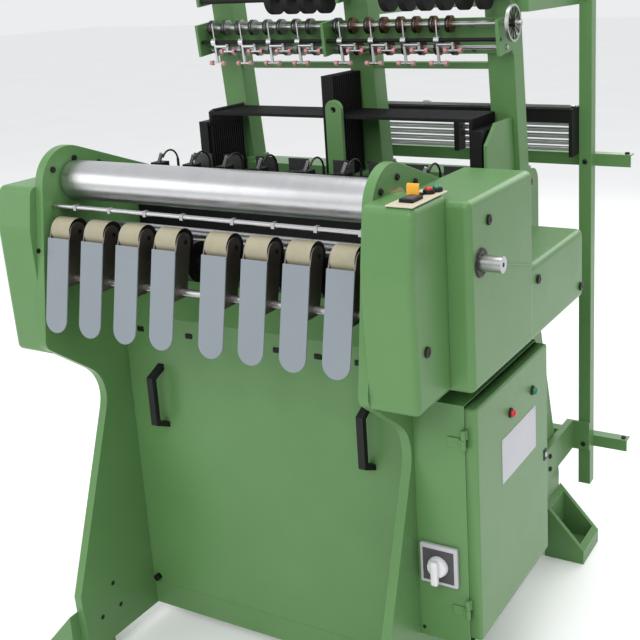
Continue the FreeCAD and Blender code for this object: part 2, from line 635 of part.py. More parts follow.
def door_hinge(z):
    """Fixed half of a hinge: leaf, lower knuckle and pin."""
    leaf = box(("34", "3", "hinge_length/2"), (f"{DOOR_X} - 38", "box_y - 3", z))
    lower = bar("hinge_radius", "hinge_length/2", (DOOR_X, HINGE_Y, z), "z")
    pin = bar("hinge_pin", "hinge_length", (DOOR_X, HINGE_Y, z), "z")
    web = box(("hinge_radius + 4", "5", "hinge_length/2"), (f"{DOOR_X} - hinge_radius - 4",
                                                            f"{HINGE_Y} - 2", z))
    return fuse([leaf, lower, pin, web])


node("door_hinges", group([door_hinge("hinge_low"), door_hinge("hinge_high")]))
door_parts = [cut(box(("door_thick", "box_length - 2", "door_height"),
                      (DOOR_X, "box_y + 1", "door_base")),
                  [box(("door_thick", "box_length - 2 - 2*box_wall",
                        "door_height - 2*box_wall"),
                       (f"{DOOR_X} - box_wall", "box_y + 1 + box_wall", "door_base + box_wall"))])]
for level in ("hinge_low", "hinge_high"):
    z = f"({level} + hinge_length/2 + running_gap)"
    door_parts.append(hinge_knuckle(z, "hinge_length/2 - running_gap", "hinge_pin + bore_gap"))
    door_parts.append(box(("4", "hinge_radius", "hinge_length/2 - running_gap"),
                          (f"{DOOR_X} + hinge_pin + 0.5", "box_y - hinge_radius + 2", z)))
node("control_door", fuse(door_parts))
DOOR_FACE = f"({DOOR_X} + door_thick)"
node("door_fittings", group([
    bar("8", "14", (DOOR_FACE, "box_y + 182", "740")),
    bar("8", "14", (DOOR_FACE, "box_y + 317", "740")),
    box(("2", "205", "105"), (DOOR_FACE, "box_y + 130", "590"))]))
node("switch_plate", box(("switch_width", "switch_thick", "switch_height"),
                         ("switch_x - switch_width/2", "box_y - switch_thick",
                          "switch_z - switch_height/2")))
KNOB_Y = "(box_y - switch_thick - running_gap)"
node("switch_knob", fuse([
    bar("knob_radius", "knob_depth/2", ("switch_x", f"{KNOB_Y} - knob_depth/2", "switch_z"), "y"),
    box(("16", "knob_depth", "58"), ("switch_x - 8", f"{KNOB_Y} - knob_depth", "switch_z - 36"))]))

# ---------------------------------------------------------------- console
CONSOLE_Z = "(hood_top + console_thick)"
button_spots = {"stop_button": ("console_x + 34", "console_y + 116"),
                "start_button": ("console_x + 40", "console_y + 138")}
console = cut(box(("console_width", "console_length", "console_thick"),
                  ("console_x", "console_y", "hood_top")), [
    bar("button_radius + 0.5", "20", (x, y, "hood_top - 5"), "z") for x, y in
    button_spots.values()])
rings = [cut(bar("button_radius + 4", "8", (x, y, CONSOLE_Z), "z"),
             [bar("button_radius + 0.5", "12", (x, y, f"{CONSOLE_Z} - 1"), "z")])
         for x, y in button_spots.values()]
node("console_panel", fuse([
    console, box(("30", "44", "7"), ("console_x + 14", "console_y + 28", CONSOLE_Z)),
    box(("26", "30", "10"), ("console_x + 6", "console_y + 76", CONSOLE_Z)),
    box(("26", "4", "26"), ("console_x + 6", "console_y + 76", CONSOLE_Z))] + rings))
for label, (x, y) in button_spots.items():
    node(label, bar("button_radius", "12", (x, y, "hood_top + button_travel + running_gap"), "z"))


# ---------------------------------------------------------------- weaving heads and needles
heads = []
for tape in TAPES:
    block = box(("head_width", "head_depth", "head_height"),
                (f"{tape} - head_width/2", "head_y", "breast_z + breast_thick"))
    clip = box(("8", "5", "30"), (f"{tape} - 4", "head_y + 10",
                                  "breast_z + breast_thick + head_height - 2"))
    clip.Placement.Rotation = FreeCAD.Rotation(Vector(0, 1, 0), 25)
    nose = box(("head_width - 12", "20", "20"), (f"{tape} - head_width/2 + 6", "head_y - 18",
                                                 "breast_z + breast_thick"))
    heads.append(fuse([block, clip, nose]))
node("weaving_heads", group(heads))


def needle(tape):
    """Curved needle arm from the needle shaft over its weaving head."""
    x = f"({tape} + head_width/2 + 7)"
    bow = doc.addObject("Part::Torus", "bow")
    bind(bow, "Radius1", "needle_arm")
    bind(bow, "Radius2", "needle_wire")
    bow.Angle3 = 150
    place(bow, (x, "needle_y - needle_arm", "needle_z + 26"),
          FreeCAD.Rotation(Vector(0, 1, 0), 90).multiply(FreeCAD.Rotation(Vector(0, 0, 1), 90)))
    stem = bar("needle_wire + 1", "30", (x, "needle_y", "needle_z"), "z")
    hub = bar("needle_shaft + 4", "10", (f"{x} - 5", "needle_y", "needle_z"))
    return [bow, stem, hub]


needle_parts = [bar("needle_shaft", "2*inner_half - 16", ("8 - inner_half", "needle_y",
                                                          "needle_z"))]
for tape in TAPES:
    needle_parts += needle(tape)
node("needle_arms", fuse(needle_parts))
carriers = []
for x in ("-inner_half", "-8", "inner_half - 16"):
    carriers.append(cut(box(("16", "22", "26"), (x, "needle_y - 8", "breast_z + breast_thick")),
                        [bar("needle_shaft + bore_gap", "20", (f"{x} - 2", "needle_y",
                                                               "needle_z"))]))
carriers.append(box(("2*inner_half", "breast_depth", "breast_thick"),
                    ("-inner_half", "breast_y", "breast_z")))
carriers.append(box(("2*inner_half - 2*running_gap", "sheet_thick",
                     "breast_z - cover_slope_z - 2 + 1"),
                    ("-inner_half + running_gap", "apron_y", "cover_slope_z + 2")))
node("breast_rail", fuse(carriers))

# ---------------------------------------------------------------- sley and reeds
sley_parts = [bar("sley_radius", f"2*{OUTER}", (f"-{OUTER}", "sley_y", "sley_z")),
              box(("2*inner_half - 24", "sley_beam", "sley_beam + 4"),
                  ("12 - inner_half", "sley_y - sley_beam/2", "sley_beam_z"))]
for side in (-1, 1):
    sley_parts.append(box(("sword_width", "sley_beam - 4", "sley_beam_z - sley_z + 2"),
                          (f"{side}*sword_x - sword_width/2", "sley_y - sley_beam/2 + 2", "sley_z")))
for tape in TAPES:
    sley_parts.append(box(("reed_width", "reed_thick", "reed_height + 4"),
                          (f"{tape} - reed_width/2", "sley_y - reed_thick/2",
                           "sley_beam_z + sley_beam")))
node("sley", fuse(sley_parts))

# ---------------------------------------------------------------- heald frames
HEALDS = 16


def heald_frame(step):
    """Thin frame with a taller middle stile."""
    y = f"(heald_y + {step}*heald_pitch)"
    blank = box(("2*heald_half", "heald_thick", "heald_top - heald_base"),
                ("-heald_half", y, "heald_base"))
    stile = box(("heald_middle_width", "heald_thick", "heald_peak - heald_base"),
                ("heald_middle", y, "heald_base"))
    windows = []
    for start, end in (("heald_bar - heald_half", "heald_middle"),
                       ("heald_middle + heald_middle_width", "heald_half - heald_bar")):
        windows.append(box((f"{end} - ({start})", "heald_thick + 2",
                            "heald_top - heald_base - 2*heald_bar"),
                           (start, f"{y} - 1", "heald_base + heald_bar")))
    return cut(fuse([blank, stile]), windows)


frames = [heald_frame(step) for step in range(HEALDS)]
node("heald_frames_front", group(frames[0::2]))
node("heald_frames_rear", group(frames[1::2]))


def heald_comb(side):
    """Toothed guide on the side frame; the frames slide between its teeth."""
    spine_x = "heald_half + 0.5" if side > 0 else "-inner_half"
    tooth_x = "heald_half - 6" if side > 0 else "-heald_half - 0.5"
    parts = [box(("inner_half - heald_half - 0.5", f"heald_pitch*{HEALDS} + 12",
                  "comb_top - comb_base"), (spine_x, "heald_y - 10", "comb_base"))]
    for step in range(HEALDS + 1):
        y = f"heald_y + {step}*heald_pitch - heald_pitch + heald_thick + comb_gap"
        parts.append(box(("6.5", "heald_pitch - heald_thick - 2*comb_gap", "comb_depth"),
                         (tooth_x, y, "comb_top - comb_depth")))
    return fuse(parts)


node("heald_combs", group([heald_comb(-1), heald_comb(1)]))


# ---------------------------------------------------------------- gantry
def column(x):
    """Leaning U channel, open to the rear, on a base plate and two gussets."""
    y, z = gantry("-4", "0")
    skin = box(("column_width", "column_depth", "column_length + 4"), (x, y, z))
    hollow = box(("column_width - 2*column_wall", "column_depth", "column_length + 6"),
                 (f"{x} + column_wall", f"{y} + column_wall*cos(lean)",
                  f"{z} - 2 + column_wall*sin(lean)"))
    base = box(("column_width", "column_depth + 32", "base_thick"),
               (x, "column_y - 18", "deck_z"))
    return fuse([cut(lean_rotation(skin), [lean_rotation(hollow)]), base])


COLUMN_X = ["-column_outer", "column_middle", "column_outer - column_width"]
lug = plate("XZ_Plane", [("-lug_width/2", "0"), ("lug_width/2", "0"),
                         ("lug_width/2", "lug_rise"), ("-lug_width/2", "lug_rise")],
            "lug_thick", ("lug_x", "heald_y - 2", "deck_z"), {"lug_width/2 - 0.2": [2, 3]})
lug_foot = box(("lug_width/2", "deck_beam_y - heald_y + lug_thick + 2", "lug_thick"),
               ("lug_x", "heald_y - lug_thick - 2", "deck_z - lug_thick"))
lug_hole = bar("8", "lug_thick + 8", ("lug_x", "heald_y - lug_thick - 8", "deck_z + lug_hole"),
               "y")
gusset = plate("YZ_Plane", [("gusset_front", "deck_z"), ("column_y", "deck_z"),
                            ("column_y - 20", "deck_z + gusset_rise"),
                            ("gusset_front + 60", "deck_z + gusset_rise"),
                            ("gusset_front", "deck_z + 0.7*gusset_rise")],
               "gusset_thick", ("gusset_x", "0", "0"))
node("gantry_columns", group([column(x) for x in COLUMN_X]
                             + [cut(fuse([lug, lug_foot]), [lug_hole]), gusset]))


def on_gantry(x, length, rise, out, depth, height):
    """Box that leans with the columns."""
    y, z = gantry(rise, out)
    return lean_rotation(box((length, depth, height), (x, y, z)))


node("feeder_plate", group([
    on_gantry("-column_outer", "2*column_outer", "feeder_low", "feeder_thick", "feeder_thick",
              "feeder_height"),
    on_gantry("column_width - column_outer", "column_outer + column_middle - column_width",
              "tie_rise", "-4", "tie_bar", "tie_bar"),
    on_gantry("column_middle + column_width", "column_outer - 2*column_width - column_middle",
              "tie_rise", "-4", "tie_bar", "tie_bar")]))


def shaft_at(radius, rise, out, x, length):
    """Round bar across the gantry."""
    y, z = gantry(rise, out)
    return bar(radius, length, (x, y, z))


BRACKETS = ["-column_outer", "-43", "column_outer - 8"]


def gantry_bracket(x, rise, height, reach, holes):
    """Bearing plate that stands out from the gantry, bored for its shafts."""
    arm = on_gantry(x, "8", rise, reach, f"{reach} - feeder_thick", height)
    tools = [shaft_at(f"{radius} + {gap}", level, out, f"{x} - 1", "10")
             for radius, level, out, gap in holes]
    return cut(arm, tools)


brackets = [
    gantry_bracket(x, "lower_rise - bracket_edge", "upper_rise - lower_rise + 2*bracket_edge",
                   "rail_out + 12", [
        ("feeder_shaft", "upper_rise", "feeder_out", "bore_gap"),
        ("feeder_shaft", "lower_rise", "feeder_out", "bore_gap"),
        ("rail_radius", "rail_rise", "rail_out", "0")]) for x in BRACKETS]
brackets.append(shaft_at("rail_radius", "rail_rise", "rail_out", "-column_outer",
                         "2*column_outer"))


def pulleys(radius, rise, shift):
    """Two grooved pulleys for each tape on one shaft."""
    made = []
    for feed in FEEDS:
        for side in (-1, 1):
            x = f"({feed} + {side}*pulley_spread + {shift} - pulley_width/2)"
            made.append(shaft_at(f"{radius} - 5", rise, "feeder_out", x, "pulley_width"))
            made.append(shaft_at(radius, rise, "feeder_out", x, "pulley_width/3"))
            made.append(shaft_at(radius, rise, "feeder_out", f"{x} + 2*pulley_width/3",
                                 "pulley_width/3"))
    return made


def spoked_wheel():
    """Rim, hub and twelve spokes on the end of the upper feeder shaft."""
    y, z = gantry("upper_rise", "feeder_out")
    x = "wheel_x"
    rim = cut(bar("wheel_radius", "wheel_width", (x, y, z)),
              [bar("wheel_radius - wheel_rim", "wheel_width + 2", (f"{x} - 1", y, z))])
    parts = [rim, bar("10", "wheel_width + 8", (f"{x} - 4", y, z))]
    for step in range(12):
        spoke = bar("spoke_radius", "wheel_radius - wheel_rim + 1", (f"{x} + wheel_width/2", y, z),
                    "z")
        spoke.Placement.Rotation = FreeCAD.Rotation(Vector(1, 0, 0), 30 * step)
        parts.append(spoke)
    return parts


node("upper_feeder_shaft", fuse([
    shaft_at("feeder_shaft", "upper_rise", "feeder_out", "-column_outer - 4",
             "column_outer + 4 + wheel_x + 26")] + pulleys("upper_pulley", "upper_rise", "0")
    + spoked_wheel()))
node("lower_feeder_shaft", fuse([
    shaft_at("feeder_shaft", "lower_rise", "feeder_out", "-column_outer - 4",
             "2*column_outer + 8")] + pulleys("lower_pulley", "lower_rise", "9")))


def crossbar(x, low):
    """Bar with a ceramic eyelet at each end, at the foot of a tension arm."""
    return [shaft_at("arm_radius", low, "rail_out", f"{x} - eyelet_spread/2", "eyelet_spread"),
            *(shaft_at("eyelet_radius", low, "rail_out",
                       f"{x} + {side}*eyelet_spread/2 - eyelet_length/2", "eyelet_length")
              for side in (-1, 1))]


def tension_arm(tape):
    """Sprung arm on the tension rail, with a long and a short leg."""
    hub = cut(shaft_at("rail_radius + 5", "rail_rise", "rail_out", f"{tape} - 7", "14"),
              [shaft_at("rail_radius + bore_gap", "rail_rise", "rail_out", f"{tape} - 8", "16")])
    parts = [hub, on_gantry(f"{tape} - 1.5", "3", "rail_rise + rail_radius + 2", "rail_out + 2",
                            "3", "42")]
    for shift, reach in (("0", "arm_length"), ("side_shift", "side_arm")):
        low = f"rail_rise - rail_radius - {reach}"
        x = f"{tape} + {shift}"
        parts.append(on_gantry(f"{x} - arm_radius", "2*arm_radius", low, "rail_out + arm_radius",
                               "2*arm_radius", reach))
        parts += crossbar(x, low)
    parts.append(shaft_at("arm_radius + 1", "rail_rise - rail_radius - 6", "rail_out + 2", tape,
                          "side_shift"))
    return fuse(parts)


node("tension_arms", group([tension_arm(feed) for feed in FEEDS]))
supply = [shaft_at("supply_shaft", "supply_rise", "supply_out", "-column_outer - 4",
                   "2*column_outer + 8")]
for tape in TAPES[2:4] + TAPES[5:]:
    for side in (-1, 1):
        x = f"{tape} + {side}*supply_pitch - supply_width/2"
        supply.append(shaft_at("supply_radius", "supply_rise", "supply_out", x, "supply_width"))
node("supply_rollers", fuse(supply))
for x in (BRACKETS[0], "-4", BRACKETS[2]):
    arm = on_gantry(x, "8", "supply_rise - 14", "supply_out + 14", "supply_out + 14", "28")
    brackets.append(cut(arm, [shaft_at("supply_shaft + bore_gap", "supply_rise", "supply_out",
                                       f"{x} - 1", "10")]))
node("feeder_brackets", group(brackets))

# ---------------------------------------------------------------- rear frame
TOP_Y, _ = gantry("(top_beam_z - deck_z)/cos(lean)", "-30")
rear = [box(("post_size", "post_size", "post_top - post_base"), (x, "post_y", "post_base"))
        for x in ("post_left", "post_right")]
for z in ("lower_beam_z", "upper_beam_z"):
    rear.append(box(("beam_right - beam_left", "4", "rail_beam"),
                    ("beam_left", "post_y + post_size", z)))
    rear.append(box(("beam_right - beam_left", "rail_beam", "4"),
                    ("beam_left", "post_y + post_size", f"{z} + rail_beam - 4")))
rear.append(box(("post_right - post_left", "post_size", "top_beam_height"),
                ("post_left", "post_y", "top_beam_z")))
rear.append(box(("post_right - column_outer", f"post_y + post_size - ({TOP_Y})",
                 "top_beam_height"), ("column_outer", TOP_Y, "top_beam_z")))
rear.append(box(("column_width - 2*column_wall", f"post_y - ({TOP_Y})", "top_beam_height"),
                ("column_middle + column_wall", TOP_Y, "top_beam_z")))
rear.append(box(("arm_plate", "post_y - back_y + 60", "arm_height"),
                (OUTER, "back_y - 60", "rear_beam_z")))
rear.append(box((f"post_right + post_size - {OUTER}", "8", "arm_height"),
                (OUTER, "post_y - 8", "rear_beam_z")))
rear.append(box(("arm_plate", "post_y - rear_beam_y - beam_width", "arm_height"),
                ("post_left", "rear_beam_y + beam_width", "rear_beam_z")))
node("rear_frame", fuse(rear))

# ---------------------------------------------------------------- warp stop motion
STOP_X = "(post_left + post_size)"
STOP_LENGTH = f"(post_right - {STOP_X})"
stop_parts = [box(("stop_plate", "stop_depth + 30", "stop_height"), (x, "stop_y", "stop_base"))
              for x in (STOP_X, "post_right - stop_plate")]
stop_parts.append(box((STOP_LENGTH, "stop_depth", "4"), (STOP_X, "stop_y",
                                                         "stop_base + stop_height - 4")))
bars = [bar("stop_rod", f"{STOP_LENGTH} - 2*stop_plate",
            (f"{STOP_X} + stop_plate", f"stop_y + 16 + {step}*14", f"stop_base + 92 - {step}*20"))
        for step in range(5)]
bars.append(bar("stop_rod", STOP_LENGTH, (STOP_X, "stop_y + 30",
                                          "stop_base + stop_height + stop_rod")))
node("stop_motion", group([fuse(stop_parts)] + bars))


# ---------------------------------------------------------------- fasteners
def bolt(at, along="x", radius="bolt_radius", length="bolt_head"):
    """Bolt head or plug from the centre of its seat."""
    return bar(radius, length, at, along)


def leaning_bolt(x, rise):
    """Bolt head on the front of the feeder plate."""
    y, z = gantry(rise, "feeder_thick")
    thing = bolt((x, y, z))
    thing.Placement.Rotation = FreeCAD.Rotation(Vector(1, 0, 0), 1)
    bind(thing, "Placement.Rotation.Angle", "90 + lean")
    return thing


FLANGE = [("roller_y - 61", "roller_z + 34"), ("roller_y + 8", "roller_z + 50"),
          ("roller_y + 85", "roller_z + 26")]
bolts = [bolt((x, y, z)) for y, z in FLANGE
         for x in (OUTER, f"-({OUTER} + bolt_head)", "-inner_half", "inner_half - bolt_head")]
bolts += [bolt((x, y, z), "x", "plug_radius") for x, y, z in (
    (f"{OUTER} + nose_width", "nose_sole_y + 40", "hood_base + 124"),
    (BODY_X, "body_back_y - 250", "body_top - 54"), (BODY_X, "body_back_y + 26", "tail_top - 40"),
    (BODY_X, "tail_back_y - 26", "hood_base + 34"))]
bolts += [bolt((f"{OUTER} + arm_plate", "back_y + 22", f"rear_beam_z + {rise}*arm_height"))
          for rise in (0.28, 0.72)]
bolts += [bolt(("beam_right - 14", "post_y + post_size + 16", f"{z} + rail_beam"), "z")
          for z in ("lower_beam_z", "upper_beam_z")]
bolts += [bolt(("post_right + post_size/2", "post_y - bolt_head", f"{z} + rail_beam/2"), "y")
          for z in ("upper_beam_z", "top_beam_z")]
bolts += [bolt(("post_right + post_size/2", "post_y - 8 - bolt_head", "rear_beam_z + 20"), "y")]
bolts += [leaning_bolt(x, rise) for x in ("30 - column_outer", "column_outer - 100")
          for rise in ("feeder_low + 14", "feeder_low + feeder_height - 14")]
bolts += [bolt((f"{x} + column_width/2", y, "deck_z + base_thick"), "z") for x in COLUMN_X
          for y in ("column_y - 10", "column_y + column_depth + 5")]
for side in (-1, 1):
    seat = f"{OUTER} + foot_wall" if side > 0 else f"-({OUTER} + foot_wall + bolt_head)"
    bolts += [bolt((seat, f"{end}*anchor_y + {step}*28", "62")) for end in (-1, 1)
              for step in (-1, 1)]
bolts.append(bolt(("20 - inner_half", "cover_y - 14", "cover_base + 15"), "y", "9", "14"))
bolts.append(bolt((f"{OUTER} + 9", "box_y - 3", "box_base + 20"), "y", "4", "3"))
node("fasteners", group(bolts))

# ---------------------------------------------------------------- test and export
doc.recompute()
for thing in nodes:
    if {"Invalid", "Error"} & set(thing.State) or thing.Shape.isNull() or not thing.Shape.isValid():
        raise RuntimeError(f"{thing.Label} did not build")
    thing.Shape.exportStep(f"parts/{thing.Label}.step")
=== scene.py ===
"""Looks of a floor-standing needle loom for eight narrow tapes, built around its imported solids."""

import logging
import math
from dataclasses import dataclass
from enum import Enum
from typing import Callable, Iterable, Sequence

import bmesh
import bpy
import numpy as np
from mathutils import Matrix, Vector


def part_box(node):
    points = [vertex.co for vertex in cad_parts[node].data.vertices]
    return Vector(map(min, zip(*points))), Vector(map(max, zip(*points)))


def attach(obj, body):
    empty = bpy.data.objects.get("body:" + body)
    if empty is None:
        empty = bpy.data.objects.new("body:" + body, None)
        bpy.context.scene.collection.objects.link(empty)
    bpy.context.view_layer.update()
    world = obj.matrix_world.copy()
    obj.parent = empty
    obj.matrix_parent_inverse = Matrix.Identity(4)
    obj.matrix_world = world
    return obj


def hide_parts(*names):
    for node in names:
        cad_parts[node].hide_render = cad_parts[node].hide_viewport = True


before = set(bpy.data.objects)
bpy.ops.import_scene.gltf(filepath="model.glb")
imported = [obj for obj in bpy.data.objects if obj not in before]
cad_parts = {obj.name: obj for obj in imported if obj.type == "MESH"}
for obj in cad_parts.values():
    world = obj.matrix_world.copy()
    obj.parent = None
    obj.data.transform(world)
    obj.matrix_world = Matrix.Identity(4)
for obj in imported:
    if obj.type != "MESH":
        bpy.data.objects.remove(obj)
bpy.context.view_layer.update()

LOG = logging.getLogger("loom")
MADE: dict["Tone", bpy.types.Material] = {}


# ---------------------------------------------------------------- node graphs and finishes

class Graph:
    """A material's node tree with short calls for adding and joining nodes."""

    def __init__(self, name: str) -> None:
        """Starts an empty tree with one Principled shader.

        Args:
            name: the material's name.
        """
        self.material = bpy.data.materials.new(name)
        self.material.use_nodes = True
        self.tree = self.material.node_tree
        self.tree.nodes.clear()
        self.shader = self.add("ShaderNodeBsdfPrincipled")
        out = self.add("ShaderNodeOutputMaterial")
        self.join(self.shader, "BSDF", out, "Surface")
        self.coords = self.add("ShaderNodeTexCoord")

    def add(self, kind: str, **values: object) -> bpy.types.Node:
        """Adds a node and sets its properties or its inputs of those names.

        Args:
            kind: the node's type name.
            values: property or input values; an underscore stands for a space.

        Returns:
            The new node.
        """
        node = self.tree.nodes.new(kind)
        for key, value in values.items():
            label = key.replace("_", " ")
            if label in node.inputs:
                node.inputs[label].default_value = value
            else:
                setattr(node, key, value)
        return node

    def join(self, a: bpy.types.Node, out: str | int, b: bpy.types.Node, to: str | int) -> None:
        """Links output `out` of node a to input `to` of node b."""
        self.tree.links.new(a.outputs[out], b.inputs[to])

    def noise(self, scale: float, detail: float = 3.0, stretch: Sequence[float] = (1, 1, 1),
              rough: float = 0.5) -> bpy.types.Node:
        """Noise on Object coordinates, with one stretch factor per axis.

        Args:
            scale: waves in a metre.
            detail: octaves.
            stretch: factors on x, y and z.
            rough: share of the finer octaves.

        Returns:
            The noise node.
        """
        mapping = self.add("ShaderNodeMapping")
        mapping.inputs["Scale"].default_value = tuple(stretch)
        self.join(self.coords, "Object", mapping, "Vector")
        made = self.add("ShaderNodeTexNoise", Scale=scale, Detail=detail, Roughness=rough)
        self.join(mapping, "Vector", made, "Vector")
        return made

    def ramp(self, source: bpy.types.Node, out: str | int,
             stops: Sequence[tuple[float, Sequence[float]]]) -> bpy.types.Node:
        """A colour ramp fed by a node's output.

        Args:
            source: node to read.
            out: its output.
            stops: (place, colour) pairs.

        Returns:
            The ramp node.
        """
        made = self.add("ShaderNodeValToRGB")
        marks = made.color_ramp.elements
        while len(marks) < len(stops):
            marks.new(0.5)
        for mark, (place, colour) in zip(marks, stops):
            mark.position = place
            mark.color = (*colour, 1.0) if len(colour) == 3 else tuple(colour)
        self.join(source, out, made, "Fac")
        return made

    def mix(self, low: Sequence[float] | bpy.types.Node, high: Sequence[float] | bpy.types.Node,
            share: bpy.types.Node, out: str | int = 0) -> bpy.types.Node:
        """Mixes two colours, or two nodes' colours, by a node's value.

        Args:
            low: colour at 0.
            high: colour at 1.
            share: node whose output gives the share.
            out: which output of it.

        Returns:
            The mix node; its third output is the colour.
        """
        made = self.add("ShaderNodeMix", data_type="RGBA")
        for place, value in ((6, low), (7, high)):
            if isinstance(value, bpy.types.Node):
                found = 2 if value.bl_idname == "ShaderNodeMix" else 0
                self.tree.links.new(value.outputs[found], made.inputs[place])
            else:
                made.inputs[place].default_value = (*value, 1.0)
        self.tree.links.new(share.outputs[out], made.inputs[0])
        return made

    def relief(self, bumps: Sequence[tuple[bpy.types.Node, float, float]],
               edge: float = 0.0) -> None:
        """Chains bumps into the shader's normal, after an optional softened edge.

        Args:
            bumps: (node, strength, depth in metres) of each bump.
            edge: radius in metres by which edges look rounded; 0 leaves them.
        """
        last = None
        if edge:
            last = self.add("ShaderNodeBevel", samples=6, Radius=edge)
        for source, strength, depth in bumps:
            bump = self.add("ShaderNodeBump", Strength=strength, Distance=depth)
            self.join(source, 0, bump, "Height")
            if last is not None:
                self.join(last, "Normal", bump, "Normal")
            last = bump
        if last is not None:
            self.join(last, "Normal", self.shader, "Normal")

    def scuff_and_highlight_mask(self, radius: float, amount: float) -> bpy.types.Node:
        """A mask that is 1 on convex edges: how far the rounded normal leaves the true one.

        Args:
            radius: width of the band of scuffing and painted highlight in metres.
            amount: how soon the mask fills.

        Returns:
            A node whose first output is the mask.
        """
        # painted highlight on convex edges, where light catches them, broken up by noise like
        # scuffing
        round_normal = self.add("ShaderNodeBevel", samples=6, Radius=radius)
        true_normal = self.add("ShaderNodeNewGeometry")
        dot = self.add("ShaderNodeVectorMath", operation="DOT_PRODUCT")
        self.join(round_normal, "Normal", dot, 0)
        self.join(true_normal, "Normal", dot, 1)
        spots = self.noise(38.0, 4.0)
        away = self.add("ShaderNodeMath", operation="SUBTRACT")
        away.inputs[0].default_value = 1.0
        self.join(dot, "Value", away, 1)
        times = self.add("ShaderNodeMath", operation="MULTIPLY")
        self.join(away, 0, times, 0)
        self.join(spots, 0, times, 1)
        full = self.add("ShaderNodeMath", operation="MULTIPLY", use_clamp=True)
        self.join(times, 0, full, 0)
        full.inputs[1].default_value = amount
        return full


@dataclass(frozen=True)
class Paint:
    """Sprayed machine enamel: two close tones, orange peel, softened edges painted lighter as
    scuffing and painted highlight.
    """

    name: str
    colour: tuple[float, float, float]
    shade: tuple[float, float, float]
    edge_scuff_and_highlight: tuple[float, float, float]
    roughness: float = 0.34
    peel: float = 0.12
    edge: float = 0.0025
    coat: float = 0.05
    scuff_and_highlight: float = 1.6
    shine: float = 0.28

    def build(self) -> bpy.types.Material:
        """Makes the material; colour wanders slowly, and edges are painted lighter: scuffing and
        painted highlight.
        """
        g = Graph(self.name)
        clouds = g.noise(3.2, 5.0, rough=0.6)
        spread = g.ramp(clouds, 0, ((0.3, (0, 0, 0)), (0.72, (1, 1, 1))))
        body = g.mix(self.shade, self.colour, spread)
        # convex edges lighter: partly scuffing, partly a painted highlight of light on rounded edges
        scuffed_and_lit = g.scuff_and_highlight_mask(self.edge * 1.6, self.scuff_and_highlight)
        dressed = g.mix(body, self.edge_scuff_and_highlight, scuffed_and_lit)
        g.join(dressed, 2, g.shader, "Base Color")
        smudge = g.noise(7.0, 4.0, rough=0.65)
        gloss = g.add("ShaderNodeMapRange")
        gloss.inputs["To Min"].default_value = self.roughness - 0.06
        gloss.inputs["To Max"].default_value = self.roughness + 0.1
        g.join(smudge, 0, gloss, "Value")
        g.join(gloss, 0, g.shader, "Roughness")
        g.shader.inputs["Coat Weight"].default_value = self.coat
        g.shader.inputs["Coat Roughness"].default_value = 0.18
        g.shader.inputs["Specular IOR Level"].default_value = self.shine
        g.relief(((g.noise(520.0, 2.0), self.peel, 0.0006), (g.noise(24.0, 2.0), 0.05, 0.004)),
                 self.edge)
        return g.material


@dataclass(frozen=True)
class Metal:
    """Bare metal with tool marks stretched along or across an axis."""

    name: str
    colour: tuple[float, float, float]
    roughness: float = 0.28
    lines: tuple[float, float, float] = (1.0, 1.0, 1.0)
    scale: float = 180.0
    depth: float = 0.12
    tarnish: tuple[float, float, float] = (0.3, 0.28, 0.25)
    dirt: float = 0.25
    edge: float = 0.0

    def build(self) -> bpy.types.Material:
        """Makes the material; marks follow the stretch, tarnish gathers in slow clouds."""
        g = Graph(self.name)
        marks = g.noise(self.scale, 4.0, self.lines, 0.6)
        clouds = g.noise(9.0, 5.0, rough=0.65)
        stain = g.ramp(clouds, 0, ((0.45, (0, 0, 0)), (0.8, (self.dirt,) * 3)))
        g.join(g.mix(self.colour, self.tarnish, stain), 2, g.shader, "Base Color")
        gloss = g.add("ShaderNodeMapRange")
        gloss.inputs["To Min"].default_value = max(self.roughness - 0.09, 0.03)
        gloss.inputs["To Max"].default_value = self.roughness + 0.12
        g.join(marks, 0, gloss, "Value")
        g.join(gloss, 0, g.shader, "Roughness")
        g.shader.inputs["Metallic"].default_value = 1.0
        g.relief(((marks, self.depth, 0.0004),), self.edge)
        return g.material


@dataclass(frozen=True)
class Moulded:
    """Moulded plastic or rubber: one tone with fine grain, dust and a soft gloss."""

    name: str
    colour: tuple[float, float, float]
    dusty: tuple[float, float, float]
    roughness: float = 0.5
    grain: float = 0.15
    grain_scale: float = 900.0
    edge: float = 0.0
    coat: float = 0.0
    shine: float = 0.4

    def build(self) -> bpy.types.Material:
        """Makes the material; dust lies in slow clouds, the grain is a fine bump."""
        g = Graph(self.name)
        clouds = g.noise(16.0, 5.0, rough=0.7)
        spread = g.ramp(clouds, 0, ((0.4, (0, 0, 0)), (0.85, (1, 1, 1))))
        g.join(g.mix(self.colour, self.dusty, spread), 2, g.shader, "Base Color")
        gloss = g.add("ShaderNodeMapRange")
        gloss.inputs["To Min"].default_value = max(self.roughness - 0.08, 0.04)
        gloss.inputs["To Max"].default_value = self.roughness + 0.12
        g.join(clouds, 0, gloss, "Value")
        g.join(gloss, 0, g.shader, "Roughness")
        g.shader.inputs["Coat Weight"].default_value = self.coat
        g.shader.inputs["Specular IOR Level"].default_value = self.shine
        g.relief(((g.noise(self.grain_scale, 2.0), self.grain, 0.0003),), self.edge)
        return g.material


